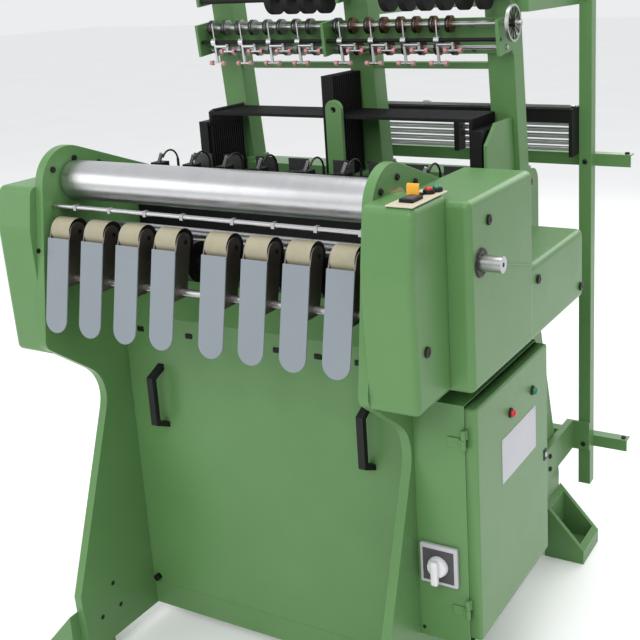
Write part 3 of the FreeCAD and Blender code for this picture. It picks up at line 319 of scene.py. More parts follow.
class Tone(Enum):
    """Every finish on the loom."""

    # a Paint's third colour is its edge colour: scuffing and painted highlight
    GREEN = Paint("green_enamel", (0.096, 0.208, 0.073), (0.083, 0.185, 0.062), (0.24, 0.40, 0.21))
    SLATE = Paint("slate_enamel", (0.198, 0.226, 0.247), (0.180, 0.206, 0.226), (0.34, 0.36, 0.37),
                  0.46, 0.08, 0.001, 0.05)
    CREAM = Moulded("press_rubber", (0.29, 0.265, 0.185), (0.23, 0.21, 0.14), 0.62, 0.3, 700.0)
    CHROME = Metal("ground_chrome", (0.56, 0.56, 0.57), 0.3, (34.0, 1.0, 1.0), 9.0, 0.06,
                   (0.33, 0.33, 0.34), 0.35)
    STEEL = Metal("turned_steel", (0.46, 0.46, 0.47), 0.3, (6.0, 1.0, 1.0), 60.0, 0.1, edge=0.0006)
    SILVER = Metal("turned_aluminium", (0.46, 0.46, 0.46), 0.34, (12.0, 1.0, 1.0), 60.0, 0.1,
                   edge=0.0006)
    BRASS = Metal("cast_brass", (0.50, 0.42, 0.25), 0.36, (4.0, 1.0, 1.0), 60.0, 0.15)
    COPPER = Metal("brown_copper", (0.26, 0.13, 0.08), 0.4, (4.0, 1.0, 1.0), 60.0, 0.15)
    BLACK = Paint("black_enamel", (0.007, 0.007, 0.007), (0.005, 0.005, 0.005), (0.04, 0.04, 0.04),
                  0.5, 0.1, 0.0008, 0.0, 0.8, 0.18)
    BLACKED = Metal("blacked_steel", (0.030, 0.029, 0.030), 0.42, (1.0, 1.0, 1.0), 120.0, 0.12,
                    (0.07, 0.055, 0.045), 0.5, 0.0006)
    # ears and cheeks of the paddles: greasy steel, dark as painted shade of the gaps between paddles
    EAR_GREASE_AND_SHADE = Metal("greasy_steel_and_painted_shade", (0.185, 0.165, 0.145), 0.46, (1.0, 1.0, 1.0), 90.0, 0.12,
                (0.045, 0.032, 0.026), 0.8, 0.0006)
    REED = Metal("reed_steel", (0.085, 0.085, 0.088), 0.4, (60.0, 1.0, 0.5), 40.0, 0.6)
    PLASTIC = Moulded("matt_black_plastic", (0.008, 0.008, 0.0085), (0.016, 0.015, 0.015), 0.5,
                      0.25, 900.0, 0.0015, 0.0, 0.2)
    BELT = Moulded("belt_compound", (0.010, 0.010, 0.010), (0.022, 0.020, 0.019), 0.7, 0.3, 900.0,
                   0.0, 0.0, 0.2)
    RED = Moulded("red_lens", (0.46, 0.010, 0.010), (0.36, 0.010, 0.010), 0.24, 0.03,
                  edge=0.0008, coat=0.3)
    TEAL = Moulded("green_plastic", (0.003, 0.17, 0.085), (0.003, 0.13, 0.065), 0.24, 0.03,
                   edge=0.0008, coat=0.3)
    YELLOW = Moulded("yellow_plastic", (0.66, 0.33, 0.018), (0.58, 0.28, 0.018), 0.38, 0.05,
                     edge=0.0008)
    IVORY = Paint("ivory_lacquer", (0.50, 0.46, 0.35), (0.45, 0.41, 0.31), (0.60, 0.58, 0.5), 0.45,
                  0.06, 0.0008, 0.05)
    GREY = Moulded("pale_grey_plastic", (0.42, 0.42, 0.44), (0.37, 0.37, 0.38), 0.38, 0.08,
                   edge=0.001)
    DARK = Moulded("dark_plastic", (0.055, 0.052, 0.055), (0.075, 0.07, 0.072), 0.5, 0.1,
                   edge=0.0006, shine=0.25)
    WHITE = Moulded("white_plastic", (0.60, 0.60, 0.61), (0.52, 0.52, 0.52), 0.35, 0.05,
                    edge=0.001)
    PINK = Moulded("pink_ceramic", (0.50, 0.22, 0.23), (0.42, 0.18, 0.19), 0.22, 0.02, coat=0.4)
    MAROON = Moulded("maroon_enamel", (0.10, 0.012, 0.012), (0.07, 0.012, 0.010), 0.35, 0.05,
                     edge=0.0008)
    PLATE = Paint("label_blank", (0.46, 0.46, 0.50), (0.42, 0.42, 0.46), (0.55, 0.55, 0.57), 0.4,
                  0.05, 0.0004, 0.05)

    def material(self) -> bpy.types.Material:
        """This finish's material, built once."""
        if self not in MADE:
            MADE[self] = self.value.build()
        return MADE[self]


# ---------------------------------------------------------------- surfaces

@dataclass
class Shell:
    """A surface: points (n, 3) and faces."""

    points: np.ndarray
    faces: list[tuple[int, ...]]

    def __add__(self, other: "Shell") -> "Shell":
        """Both surfaces in one."""
        shift = len(self.points)
        return Shell(np.vstack([self.points, other.points]),
                     self.faces + [tuple(i + shift for i in f) for f in other.faces])

    def piece(self, name: str, body: str, tone: Tone, bevel: float = 0.0, segments: int = 3,
              wall: float = 0.0, sharp: float = 38.0, flip: bool = False) -> bpy.types.Object:
        """Makes the object, finishes its edges and lets it ride.

        Args:
            name: the piece's name.
            body: the body it moves with.
            tone: its finish.
            bevel: width of rounded edges in metres.
            segments: steps of that rounding.
            wall: thickness added inwards, for an open sheet.
            sharp: edges above this angle stay sharp.
            flip: recalculates outward normals.

        Returns:
            The object.
        """
        mesh = bpy.data.meshes.new(name)
        mesh.from_pydata(self.points.astype(float).tolist(), [], self.faces)
        mesh.update()
        if flip:
            work = bmesh.new()
            work.from_mesh(mesh)
            bmesh.ops.remove_doubles(work, verts=work.verts, dist=1e-6)
            bmesh.ops.recalc_face_normals(work, faces=work.faces)
            work.to_mesh(mesh)
            work.free()
        mesh.shade_smooth()
        mesh.set_sharp_from_angle(angle=math.radians(sharp))
        mesh.materials.append(tone.material())
        made = bpy.data.objects.new(name, mesh)
        bpy.context.scene.collection.objects.link(made)
        if bevel:
            soft = made.modifiers.new("round", "BEVEL")
            soft.width, soft.segments, soft.limit_method = bevel, segments, "ANGLE"
            soft.angle_limit = math.radians(32)
            soft.harden_normals = True
        if wall:
            thick = made.modifiers.new("wall", "SOLIDIFY")
            thick.thickness, thick.offset = wall, -1
        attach(made, body)
        return made


def joined(shells: Iterable[Shell]) -> Shell:
    """All the surfaces in one."""
    points, faces, shift = [], [], 0
    for shell in shells:
        points.append(shell.points)
        faces += [tuple(i + shift for i in f) for f in shell.faces]
        shift += len(shell.points)
    return Shell(np.vstack(points), faces)


def grid(points: np.ndarray, wrap: bool = False) -> Shell:
    """Quads over a (rows, columns, 3) grid of points; wrap joins the last column to the first."""
    rows, cols = points.shape[:2]
    last = cols if wrap else cols - 1
    r, c = np.meshgrid(np.arange(rows - 1), np.arange(last), indexing="ij")
    a, b = r * cols + c, r * cols + (c + 1) % cols
    quads = np.stack([a, b, b + cols, a + cols], -1).reshape(-1, 4)
    return Shell(points.reshape(-1, 3), [tuple(q) for q in quads.tolist()])


def frame_of(axis: str) -> tuple[np.ndarray, np.ndarray, np.ndarray]:
    """Unit vectors (side, other side, along) for an axis x, y or z, right-handed."""
    eye = np.eye(3)
    k = "xyz".index(axis)
    return eye[(k + 1) % 3], eye[(k + 2) % 3], eye[k]


def turned(profile: Sequence[tuple[float, float]], centre: Sequence[float], axis: str = "x",
           steps: int = 32) -> Shell:
    """A profile spun about an axis: point = centre + along*station + radius*(cos, sin).

    Args:
        profile: (station, radius) pairs, from the low station to the high one.
        centre: a point on the axis, where the station is 0.
        axis: x, y or z.
        steps: points round.

    Returns:
        The surface; ends with radius above 0 are closed by a face.
    """
    u, v, w = frame_of(axis)
    angle = np.linspace(0, 2 * math.pi, steps, endpoint=False)
    ring = np.cos(angle)[:, None] * u + np.sin(angle)[:, None] * v
    station, radius = np.array(profile, float).T
    points = (np.array(centre, float) + station[:, None, None] * w + radius[:, None, None] * ring)
    made = grid(points, wrap=True)
    count = len(profile)
    ends = []
    if radius[0] > 1e-6:
        ends.append(tuple(range(steps))[::-1])
    if radius[-1] > 1e-6:
        ends.append(tuple((count - 1) * steps + i for i in range(steps)))
    return Shell(made.points, made.faces + ends)


def prism(outline: Sequence[tuple[float, float]], axis: str, start: float, end: float) -> Shell:
    """A flat outline carried along an axis; its two numbers follow the axis in x, y, z order.

    Args:
        outline: corners, anticlockwise about the axis.
        axis: x, y or z.
        start: first station.
        end: last station.

    Returns:
        The closed surface.
    """
    u, v, w = frame_of(axis)
    flat = np.array(outline, float)
    ring = flat[:, :1] * u + flat[:, 1:] * v
    count = len(flat)
    made = grid(np.stack([ring + start * w, ring + end * w]), wrap=True)
    return Shell(made.points, made.faces + [tuple(range(count))[::-1],
                                            tuple(count + i for i in range(count))])


def block(low: Sequence[float], high: Sequence[float]) -> Shell:
    """A box from its lowest to its highest corner."""
    (x0, y0, z0), (x1, y1, z1) = low, high
    return prism([(x0, y0), (x1, y0), (x1, y1), (x0, y1)], "z", z0, z1)


def repaint(node: str, tone: Tone, where: Callable[[np.ndarray, np.ndarray], np.ndarray]) -> None:
    """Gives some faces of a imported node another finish.

    Args:
        node: the node's name.
        tone: the finish.
        where: takes face centres and normals, both (n, 3), and gives a mask.
    """
    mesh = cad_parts[node].data
    count = len(mesh.polygons)
    centres, normals = np.empty(count * 3), np.empty(count * 3)
    mesh.polygons.foreach_get("center", centres)
    mesh.polygons.foreach_get("normal", normals)
    index = np.empty(count, int)
    mesh.polygons.foreach_get("material_index", index)
    mesh.materials.append(tone.material())
    index[where(centres.reshape(-1, 3), normals.reshape(-1, 3))] = len(mesh.materials) - 1
    mesh.polygons.foreach_set("material_index", index)
    mesh.update()


def islands(node: str) -> list[tuple[np.ndarray, np.ndarray]]:
    """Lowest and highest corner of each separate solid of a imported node."""
    work = bmesh.new()
    work.from_mesh(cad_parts[node].data)
    bmesh.ops.remove_doubles(work, verts=work.verts, dist=1e-5)
    work.verts.ensure_lookup_table()
    edges = np.array([(e.verts[0].index, e.verts[1].index) for e in work.edges])
    spots = np.array([v.co[:] for v in work.verts])
    work.free()
    label = np.arange(len(spots))
    while True:
        low = np.minimum(label[edges[:, 0]], label[edges[:, 1]])
        new = label.copy()
        np.minimum.at(new, edges[:, 0], low)
        np.minimum.at(new, edges[:, 1], low)
        new = new[new]
        if (new == label).all():
            break
        label = new
    return [(spots[label == k].min(0), spots[label == k].max(0)) for k in np.unique(label)]


def middle(node: str) -> np.ndarray:
    """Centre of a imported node's box."""
    low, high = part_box(node)
    return (np.array(low) + np.array(high)) / 2


TAPES = [float(middle(f"press_roller_{i}")[0]) for i in range(1, 9)]


NODE_TONES: dict[Tone, str] = {
    Tone.GREEN: "left_side_frame right_side_frame machine_feet cross_beams front_cover front_sill "
                "left_gear_cover right_gear_cover control_box control_door door_hinges "
                "gantry_columns feeder_plate feeder_brackets rear_frame motor",
    Tone.SLATE: " ".join(f"paddle_lever_{i}" for i in range(1, 9)),
    Tone.CREAM: " ".join(f"press_roller_{i}" for i in range(1, 9)),
    Tone.CHROME: "chrome_roller tension_arms",
    Tone.STEEL: "fixed_rods cross_shaft main_shaft motor_pulley",
    Tone.SILVER: "upper_feeder_shaft lower_feeder_shaft",
    Tone.BLACK: "breast_rail weaving_heads sley heald_frames_front heald_frames_rear heald_combs "
                "stop_motion fasteners",
    Tone.BLACKED: "takeup_shaft needle_arms",
    Tone.PLASTIC: "cover_handles",
    Tone.BRASS: "roller_bearings",
    Tone.BELT: "drive_belts supply_rollers",
    Tone.RED: "stop_button door_fittings",
    Tone.TEAL: "start_button",
    Tone.IVORY: "console_panel",
    Tone.GREY: "switch_plate",
    Tone.WHITE: "switch_knob",
}


def dress_nodes() -> None:
    """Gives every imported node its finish."""
    for tone, names in NODE_TONES.items():
        for name in names.split():
            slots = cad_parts[name].data.materials
            slots.clear()
            slots.append(tone.material())
    missing = [n for n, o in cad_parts.items() if not o.data.materials]
    if missing:
        LOG.warning("undressed nodes: %s", missing)


LEAN = math.radians(6)
FEEDS = (-0.394, -0.303, -0.212, -0.121, 0.007, 0.098, 0.189, 0.280)
FACE = 0.442           # outer face of the side frames
FLAT = 0.9             # a normal's share that counts as facing an axis
SINK = 0.001           # how far a fitting reaches into what carries it
SKIN = 0.0003          # how far a dark disc stands out
OUTER_SHAFTS = 0.45    # past this x a shaft lies outside the right side frame


def gantry(rise: float, out: float) -> tuple[float, float]:
    """The (y, z) of a point on the leaning gantry, up its columns and out from their front."""
    return (0.262 - rise * math.sin(LEAN) - out * math.cos(LEAN),
            1.192 + rise * math.cos(LEAN) - out * math.sin(LEAN))


def off(centres: np.ndarray, place: tuple[float, float]) -> np.ndarray:
    """Distance of face centres from a line along x through (y, z)."""
    return np.hypot(centres[:, 1] - place[0], centres[:, 2] - place[1])


def shade_disc(radius: float) -> list[tuple[float, float]]:
    """Profile of a flat dark disc, painted shade that stands for an open hole."""
    return [(-SINK, 0.0), (-SINK, radius), (SKIN, radius), (SKIN, 0.0)]


# ---------------------------------------------------------------- sub-assemblies

@dataclass
class TakeUp:
    """Release paddles, press rollers and driven rollers."""

    plate_top: tuple[float, float] = (-0.5059, 1.138)
    tilt: float = math.radians(11.4)
    skip: float = 0.0005
    half_roller: float = 0.0278

    def build(self) -> None:
        """Darkens the rollers' ends, and what lies behind the paddles: greasy steel, darkened as
        painted shade.
        """
        def behind(centres: np.ndarray, _: np.ndarray) -> np.ndarray:
            """Faces behind the paddle's leaning back plane."""
            drop = self.plate_top[1] - centres[:, 2]
            return centres[:, 1] > self.plate_top[0] - drop * math.tan(self.tilt) + self.skip

        for number, tape in enumerate(TAPES, 1):
            # faces behind each paddle's back plate: greasy steel, partly painted shade
            repaint(f"paddle_lever_{number}", Tone.EAR_GREASE_AND_SHADE, behind)
            repaint(f"press_roller_{number}", Tone.BLACKED,
                    lambda centres, _, x=tape: np.abs(centres[:, 0] - x) > self.half_roller)
        repaint("takeup_shaft", Tone.STEEL, lambda centres, _: centres[:, 0] > OUTER_SHAFTS)
        LOG.info("take-up: %d paddles and rollers", len(TAPES))


@dataclass
class Console:
    """Small operator's panel on the right gear cover."""

    low: tuple[float, float] = (0.488, -0.524)
    high: tuple[float, float] = (0.546, -0.374)
    base: float = 1.275
    plate: float = 0.003
    display: tuple[float, float, float, float] = (0.014, 0.028, 0.044, 0.072)
    display_rise: float = 0.007
    window_rim: tuple[float, float] = (0.004, 0.006)
    rocker_x: tuple[float, float] = (0.007, 0.031)
    guard_x: tuple[float, float] = (0.006, 0.032)
    stop: tuple[float, float] = (0.522, -0.408)
    start: tuple[float, float] = (0.528, -0.386)
    button_foot: float = 1.2793

    def cap(self, name: str, spot: tuple[float, float], tone: Tone) -> None:
        """A domed push button in place of the plain one.

        Args:
            name: the button's node.
            spot: its centre in x and y.
            tone: its finish.
        """
        profile = [(0.0037, 0.0), (0.0037, 0.0078), (0.0075, 0.0078), (0.0098, 0.0072),
                   (0.0112, 0.0056), (0.0117, 0.003), (0.0118, 0.0)]
        cap = turned(profile, (*spot, self.button_foot), "z", 28).piece(
            f"{name}_cap", name, tone, flip=True)
        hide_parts(name)

    def display_box(self, x: float, y: float, top: float) -> None:
        """The display and its window, on the plate's top and from its corner."""
        x0, y0, x1, y1 = self.display
        rim_x, rim_y = self.window_rim
        block((x + x0, y + y0, top - SINK), (x + x1, y + y1, top + self.display_rise)).piece(
            "console_display", "machine", Tone.PLASTIC, bevel=0.002)
        block((x + x0 + rim_x, y + y0 + rim_y, top + self.display_rise - SINK),
              (x + x1 - rim_x, y + y1 - rim_y, top + self.display_rise + 0.0005)).piece(
            "console_window", "machine", Tone.DARK, bevel=0.0004)

    def build(self) -> None:
        """Panel, display, rocker with its guard and the buttons' collars."""
        (x, y), top = self.low, self.base + self.plate
        panel = block((x, y, self.base), (*self.high, top)).piece(
            "console_plate", "machine", Tone.IVORY, bevel=0.0012)
        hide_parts("console_panel")
        self.display_box(x, y, top)
        rocker = [(y + 0.081, top - SINK), (y + 0.105, top - SINK), (y + 0.105, top + 0.004),
                  (y + 0.093, top + 0.005), (y + 0.081, top + 0.010)]
        prism(rocker, "x", x + self.rocker_x[0], x + self.rocker_x[1]).piece(
            "console_rocker", "machine", Tone.PLASTIC, bevel=0.0012)
        guard = [(y + 0.076, top - SINK), (y + 0.080, top - SINK), (y + 0.080, top + 0.020),
                 (y + 0.083, top + 0.026), (y + 0.079, top + 0.026), (y + 0.076, top + 0.021)]
        prism(guard, "x", x + self.guard_x[0], x + self.guard_x[1]).piece(
            "console_guard", "machine", Tone.YELLOW, bevel=0.0008)
        ring = [(-SINK, 0.0085), (-SINK, 0.012), (0.005, 0.012), (0.0075, 0.0108),
                (0.008, 0.0095), (0.0045, 0.0086), (-0.0008, 0.0085)]
        joined([turned(ring, (*spot, top), "z", 28) for spot in (self.stop, self.start)]).piece(
            "console_collars", "machine", Tone.PLASTIC, flip=True)
        self.cap("stop_button", self.stop, Tone.RED)
        self.cap("start_button", self.start, Tone.TEAL)
        LOG.info("console: panel and two buttons")


@dataclass
class Cabinet:
    """Control box on the right: door pan, lamps, blank plate and main switch."""

    door_x: float = 0.5623
    door_face: float = 0.5903
    door_y: tuple[float, float] = (-0.364, 0.054)
    door_z: tuple[float, float] = (0.276, 0.820)
    fold: float = 0.0055
    sheet: float = 0.0024
    hinge_y: float = -0.372
    knuckle_z: tuple[float, float] = (0.3523, 0.7523)
    knuckle_height: float = 0.0215
    lamp_y: tuple[float, float] = (-0.183, -0.048)
    lamp_z: float = 0.740
    label_y: tuple[float, float] = (-0.235, -0.030)
    label_z: tuple[float, float] = (0.590, 0.695)
    label_edge: float = 0.006
    knob: tuple[float, float, float] = (0.496, -0.3773, 0.445)
    switch_half: tuple[float, float] = (0.045, 0.0475)
    switch_rim: tuple[float, float] = (0.008, 0.009)
    switch_back: float = -0.365

    def door(self) -> None:
        """Pan with rounded folds, open towards the box, its knuckles and its lock."""
        (y0, y1), (z0, z1), x0, x1 = self.door_y, self.door_z, self.door_x, self.door_face
        corners = np.array([(y0, z0), (y1, z0), (y1, z1), (y0, z1)])
        rings = np.stack([np.column_stack([np.full(4, x), corners]) for x in (x0, x1)])
        pan = grid(rings, wrap=True)
        pan = Shell(pan.points, pan.faces + [(4, 5, 6, 7)])
        sheet = pan.piece("door_pan", "door", Tone.GREEN, bevel=self.fold, segments=4,
                          wall=self.sheet, flip=True)
        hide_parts("control_door")
        tall = self.knuckle_height
        profile = [(0.0, 0.0032), (0.0, 0.0055), (0.001, 0.006), (tall - 0.001, 0.006),
                   (tall, 0.0055), (tall, 0.0032)]
        knuckles = []
        for z in self.knuckle_z:
            knuckles.append(turned(profile, (x0, self.hinge_y, z), "z", 20))
            knuckles.append(block((x0 + 0.0035, self.hinge_y + 0.003, z),
                                  (x0 + 0.0075, self.hinge_y + 0.0095, z + tall)))
        joined(knuckles).piece("door_knuckles", "door", Tone.GREEN, flip=True)
        self.lock(y1 - 0.021, z0 + 0.264)

    def lock(self, y: float, z: float) -> None:
        """Black lock plate with a bright barrel, centred on (y, z) of the door's face."""
        x, half_y, half_z = self.door_face, 0.009, 0.014
        edge = [(y - half_y, z - half_z), (y + half_y, z - half_z), (y + half_y, z + half_z),
                (y - half_y, z + half_z)]
        prism(edge, "x", x - SINK, x + 0.002).piece("door_lock_plate", "door", Tone.PLASTIC,
                                                    bevel=0.001)
        barrel = [(-SINK, 0.0), (-SINK, 0.006), (0.002, 0.006), (0.003, 0.005), (0.003, 0.0)]
        turned(barrel, (x + SINK, y, z), "x", 20).piece("door_lock", "door", Tone.SILVER, flip=True)

    def lamps(self) -> None:
        """Two lens caps on black bases and the blank plate with its rivets."""
        lens = [(0.003, 0.0), (0.003, 0.0085), (0.008, 0.0085), (0.0115, 0.0075), (0.0135, 0.005),
                (0.0142, 0.0)]
        base = [(-SINK, 0.0), (-SINK, 0.0115), (0.0028, 0.0115), (0.0042, 0.0102), (0.0042, 0.0)]
        spots = [(self.door_face, y, self.lamp_z) for y in self.lamp_y]
        first = turned(lens, spots[0], "x", 24).piece("lamp_red", "door", Tone.RED, flip=True)
        turned(lens, spots[1], "x", 24).piece("lamp_green", "door", Tone.TEAL, flip=True)
        joined([turned(base, spot, "x", 24) for spot in spots]).piece(
            "lamp_bases", "door", Tone.PLASTIC, flip=True)
        (y0, y1), (z0, z1), edge = self.label_y, self.label_z, self.label_edge
        block((self.door_face - 0.0005, y0, z0), (self.door_face + 0.0012, y1, z1)).piece(
            "door_plate", "door", Tone.PLATE, bevel=0.0004)
        rivet = [(0.0, 0.0), (0.0, 0.0028), (0.0008, 0.0024), (0.0012, 0.0)]
        joined([turned(rivet, (self.door_face + 0.0011, y, z), "x", 12)
                for y in (y0 + edge, y1 - edge) for z in (z0 + edge, z1 - edge)]).piece(
            "door_rivets", "door", Tone.SILVER, flip=True)
        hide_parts("door_fittings")

    def switch(self) -> None:
        """Main switch: framed face and a turning handle."""
        x, y, z = self.knob
        (half_x, half_z), (rim_x, rim_z), back = self.switch_half, self.switch_rim, self.switch_back
        low, high = (x - half_x, back - 0.0115, z - half_z), (x + half_x, back, z + half_z)
        frame_box = block(low, high).piece("switch_frame", "machine", Tone.GREY, bevel=0.004,
                                           segments=4)
        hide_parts("switch_plate")
        block((x - half_x + rim_x, back - 0.0121, z - half_z + rim_z),
              (x + half_x - rim_x, back - 0.011, z + half_z - rim_z)).piece(
            "switch_face", "machine", Tone.DARK, bevel=0.0004)
        boss = [(-0.014, 0.0), (-0.014, 0.019), (-0.012, 0.0215), (-0.003, 0.024), (0.0, 0.024),
                (0.0, 0.0)]
        knob = turned(boss, (x, y, z), "y", 40).piece(
            "switch_boss", "switch_knob", Tone.WHITE, flip=True)
        block((x - 0.0085, y - 0.026, z - 0.036), (x + 0.0085, y - 0.012, z + 0.022)).piece(
            "switch_handle", "switch_knob", Tone.WHITE, bevel=0.005, segments=4)
        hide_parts("switch_knob")

    def build(self) -> None:
        """Builds the door, its fittings and the switch."""
        self.door()
        self.lamps()
        self.switch()
        LOG.info("cabinet: door, lamps, plate and switch")


@dataclass
class GearCovers:
    """Cast covers outside both side frames; outlines are (y, z) corners."""

    edge: float = 0.015
    nose: tuple[tuple[float, float], ...] = ((-0.528, 1.275), (-0.548, 1.150), (-0.538, 0.865),
                                             (-0.386, 0.865), (-0.386, 1.275))
    nose_x: float = 0.550
    body_x: float = 0.600
    tail_x: float = 0.5992
    body: tuple[tuple[float, float], ...] = ((-0.395, 0.865), (-0.055, 1.262))
    tail: tuple[tuple[float, float], ...] = ((-0.100, 0.8652), (0.300, 1.045))
    rib_x: tuple[float, float] = (0.596, 0.6025)
    left_x: float = -0.550
    left_side: tuple[tuple[float, float], ...] = ((-0.510, 1.252), (-0.528, 1.150), (-0.520, 0.850),
                                                  (0.020, 0.850), (0.020, 1.125), (-0.340, 1.252))
    stub: tuple[float, float] = (-0.346155, 1.130135)
    stub_end: float = 0.648

    def cast(self, shell: Shell, name: str) -> bpy.types.Object:
        """A rounded casting whose edges on the side frame stay square.

        Args:
            shell: the closed block.
            name: the piece's name.

        Returns:
            The piece.
        """
        made = shell.piece(name, "machine", Tone.GREEN, bevel=self.edge, segments=5)
        mesh = made.data
        spots = np.empty(len(mesh.vertices) * 3)
        mesh.vertices.foreach_get("co", spots)
        flat = np.abs(np.abs(spots[::3]) - FACE) < 1e-4
        pairs = np.empty(len(mesh.edges) * 2, int)
        mesh.edges.foreach_get("vertices", pairs)
        weights = np.where(flat[pairs.reshape(-1, 2)].all(1), 0.0, 1.0)
        mesh.attributes.new("bevel_weight_edge", "FLOAT", "EDGE").data.foreach_set("value", weights)
        made.modifiers["round"].limit_method = "WEIGHT"
        return made

    def right(self) -> None:
        """Nose, body and tail, the rib from the stub to the tail, and the stub's seal."""
        low, high = self.body
        body = self.cast(block((FACE, *low), (self.body_x, *high)), "right_cover_body")
        self.cast(prism(self.nose, "x", FACE, self.nose_x), "right_cover_nose")
        low, high = self.tail
        self.cast(block((FACE, *low), (self.tail_x, *high)), "right_cover_tail")
        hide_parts("right_gear_cover")
        y, z = self.stub
        rib = [(y + 0.030, z - 0.012), (-0.056, 1.0435), (-0.056, 1.0475), (y + 0.030, z - 0.006)]
        prism(rib, "x", *self.rib_x).piece("right_cover_rib", "machine", Tone.GREEN, bevel=0.0018)
        seal = [(-0.004, 0.0175), (0.0032, 0.0175), (0.0032, 0.021), (0.0040, 0.023),
                (0.0040, 0.027), (0.0030, 0.0295), (-0.004, 0.032)]
        turned(seal, (self.body_x, y, z), "x", 40).piece(
            "stub_seal", "machine", Tone.BLACKED, flip=True)
        # black disc of painted shade for the stub's open centre hole
        turned(shade_disc(0.0048), (self.stub_end, y, z), "x", 20).piece(
            "stub_centre_painted_shade", "cross_shaft", Tone.BLACK, flip=True)

    def left(self) -> None:
        """The left cover: the same nose, cut a little lower and sloped behind."""
        cover = self.cast(prism(self.left_side, "x", self.left_x, -FACE), "left_cover_body")
        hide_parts("left_gear_cover")

    def build(self) -> None:
        """Both covers."""
        self.right()
        self.left()
        LOG.info("gear covers: right and left")


@dataclass
class Fasteners:
    """Socket heads and plugs in the places of the plain discs; shares are of the radius."""

    socket_depth: float = 0.4
    chamfer: float = 0.0009
    socket: float = 0.42
    mouth: float = 0.5
    rim: float = 0.82

    def head(self, low: np.ndarray, high: np.ndarray) -> Shell:
        """One head with rounded rims and a socket at both ends.

        Args:
            low: lowest corner of the disc it replaces.
            high: highest corner.

        Returns:
            The surface.
        """
        size = high - low
        axis = int(np.argmin(size))
        radius, half = float(np.delete(size, axis).mean()) / 2, float(size[axis]) / 2
        sink, waist = half * (1 - self.socket_depth), half - self.chamfer
        end = [(sink, 0.0), (sink, radius * self.socket), (half, radius * self.mouth),
               (half, radius * self.rim), (waist, radius)]
        profile = [(-station, r) for station, r in end] + end[::-1]
        return turned(profile, (low + high) / 2, "xyz"[axis], 24)

    def build(self) -> None:
        """All heads in one piece."""
        heads = [self.head(low, high) for low, high in islands("fasteners")]
        made = joined(heads).piece("bolt_heads", "machine", Tone.BLACKED, flip=True)
        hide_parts("fasteners")
        LOG.info("fasteners: %d heads", len(heads))


@dataclass
class FrameMarks:
    """Painted-shade discs for open holes in the left frame, clips on the front cover and a valve
    behind the gusset.
    """

    holes: tuple[tuple[float, float], ...] = ((-0.4356, 0.1939), (-0.4176, 0.1207),
                                              (-0.4836, 0.1235), (-0.5290, 1.1106))
    hole_radius: float = 0.0062
    inner: float = 0.420
    clips: tuple[float, ...] = (-0.367, -0.213, 0.048, 0.162, 0.270)
    clip_half: tuple[float, float] = (0.010, 0.006)
    clip_rise: float = 0.0032
    clip_z: float = 0.848
    cover_y: float = -0.286
    valve_low: tuple[float, float, float] = (0.445, 0.267, 1.150)
    valve_high: tuple[float, float, float] = (0.459, 0.287, 1.170)
    stem: tuple[float, float, float] = (0.446, 0.276, 1.162)

    def build(self) -> None:
        """Dark discs of painted shade for holes in the frame's inner face, small clips under the
        paddles, the valve.
        """
        # black discs of painted shade where the frame has open holes
        joined([turned(shade_disc(self.hole_radius), (-self.inner, y, z), "x", 20)
                for y, z in self.holes]).piece("frame_holes_painted_shade", "machine", Tone.BLACK, flip=True)
        half_x, half_z = self.clip_half
        joined([block((x - half_x, self.cover_y - self.clip_rise, self.clip_z - half_z),
                      (x + half_x, self.cover_y + SINK, self.clip_z + half_z))
                for x in self.clips]).piece("cover_clips", "machine", Tone.BLACK, bevel=0.001)
        stem = [(0.0, 0.0), (0.0, 0.006), (0.010, 0.006), (0.012, 0.004), (0.019, 0.004),
                (0.020, 0.0085), (0.026, 0.0085), (0.028, 0.0)]
        joined([turned(stem, self.stem, "x", 20), block(self.valve_low, self.valve_high)]).piece(
            "line_valve", "machine", Tone.MAROON, flip=True)
        LOG.info("frame: %d holes, %d clips", len(self.holes), len(self.clips))


@dataclass
class Weaving:
    """Weaving heads, sley with reeds and heald frames."""

    head_top: float = 1.2505
    reed_base: float = 1.181
    first_heald: float = 0.092
    pitch: float = 0.0092
    healds: int = 16
    hook_y: tuple[float, float] = (0.0004, 0.0026)
    hook: tuple[tuple[float, float], ...] = ((1.3435, -0.388), (1.3435, -0.374), (1.353, -0.374),
                                             (1.353, -0.379), (1.349, -0.381), (1.349, -0.388))

    def hooks(self, start: int, body: str) -> None:
        """Hooks on the left end of every second heald frame; the outline is (z, x) corners.

        Args:
            start: number of the first frame.
            body: the body they move with.
        """
        faces = [self.first_heald + self.pitch * n for n in range(start, self.healds, 2)]
        shells = [prism(self.hook, "y", y + self.hook_y[0], y + self.hook_y[1]) for y in faces]
        joined(shells).piece(f"heald_hooks_{body.split('_')[1]}", body, Tone.BLACKED, flip=True)

    def build(self) -> None:
        """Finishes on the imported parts, and the hooks."""
        repaint("weaving_heads", Tone.CHROME, lambda centres, _: centres[:, 2] > self.head_top)
        repaint("sley", Tone.REED, lambda centres, _: centres[:, 2] > self.reed_base)
        self.hooks(0, "healds_front")
        self.hooks(1, "healds_rear")
        LOG.info("weaving: heads, reeds, %d heald frames", self.healds)


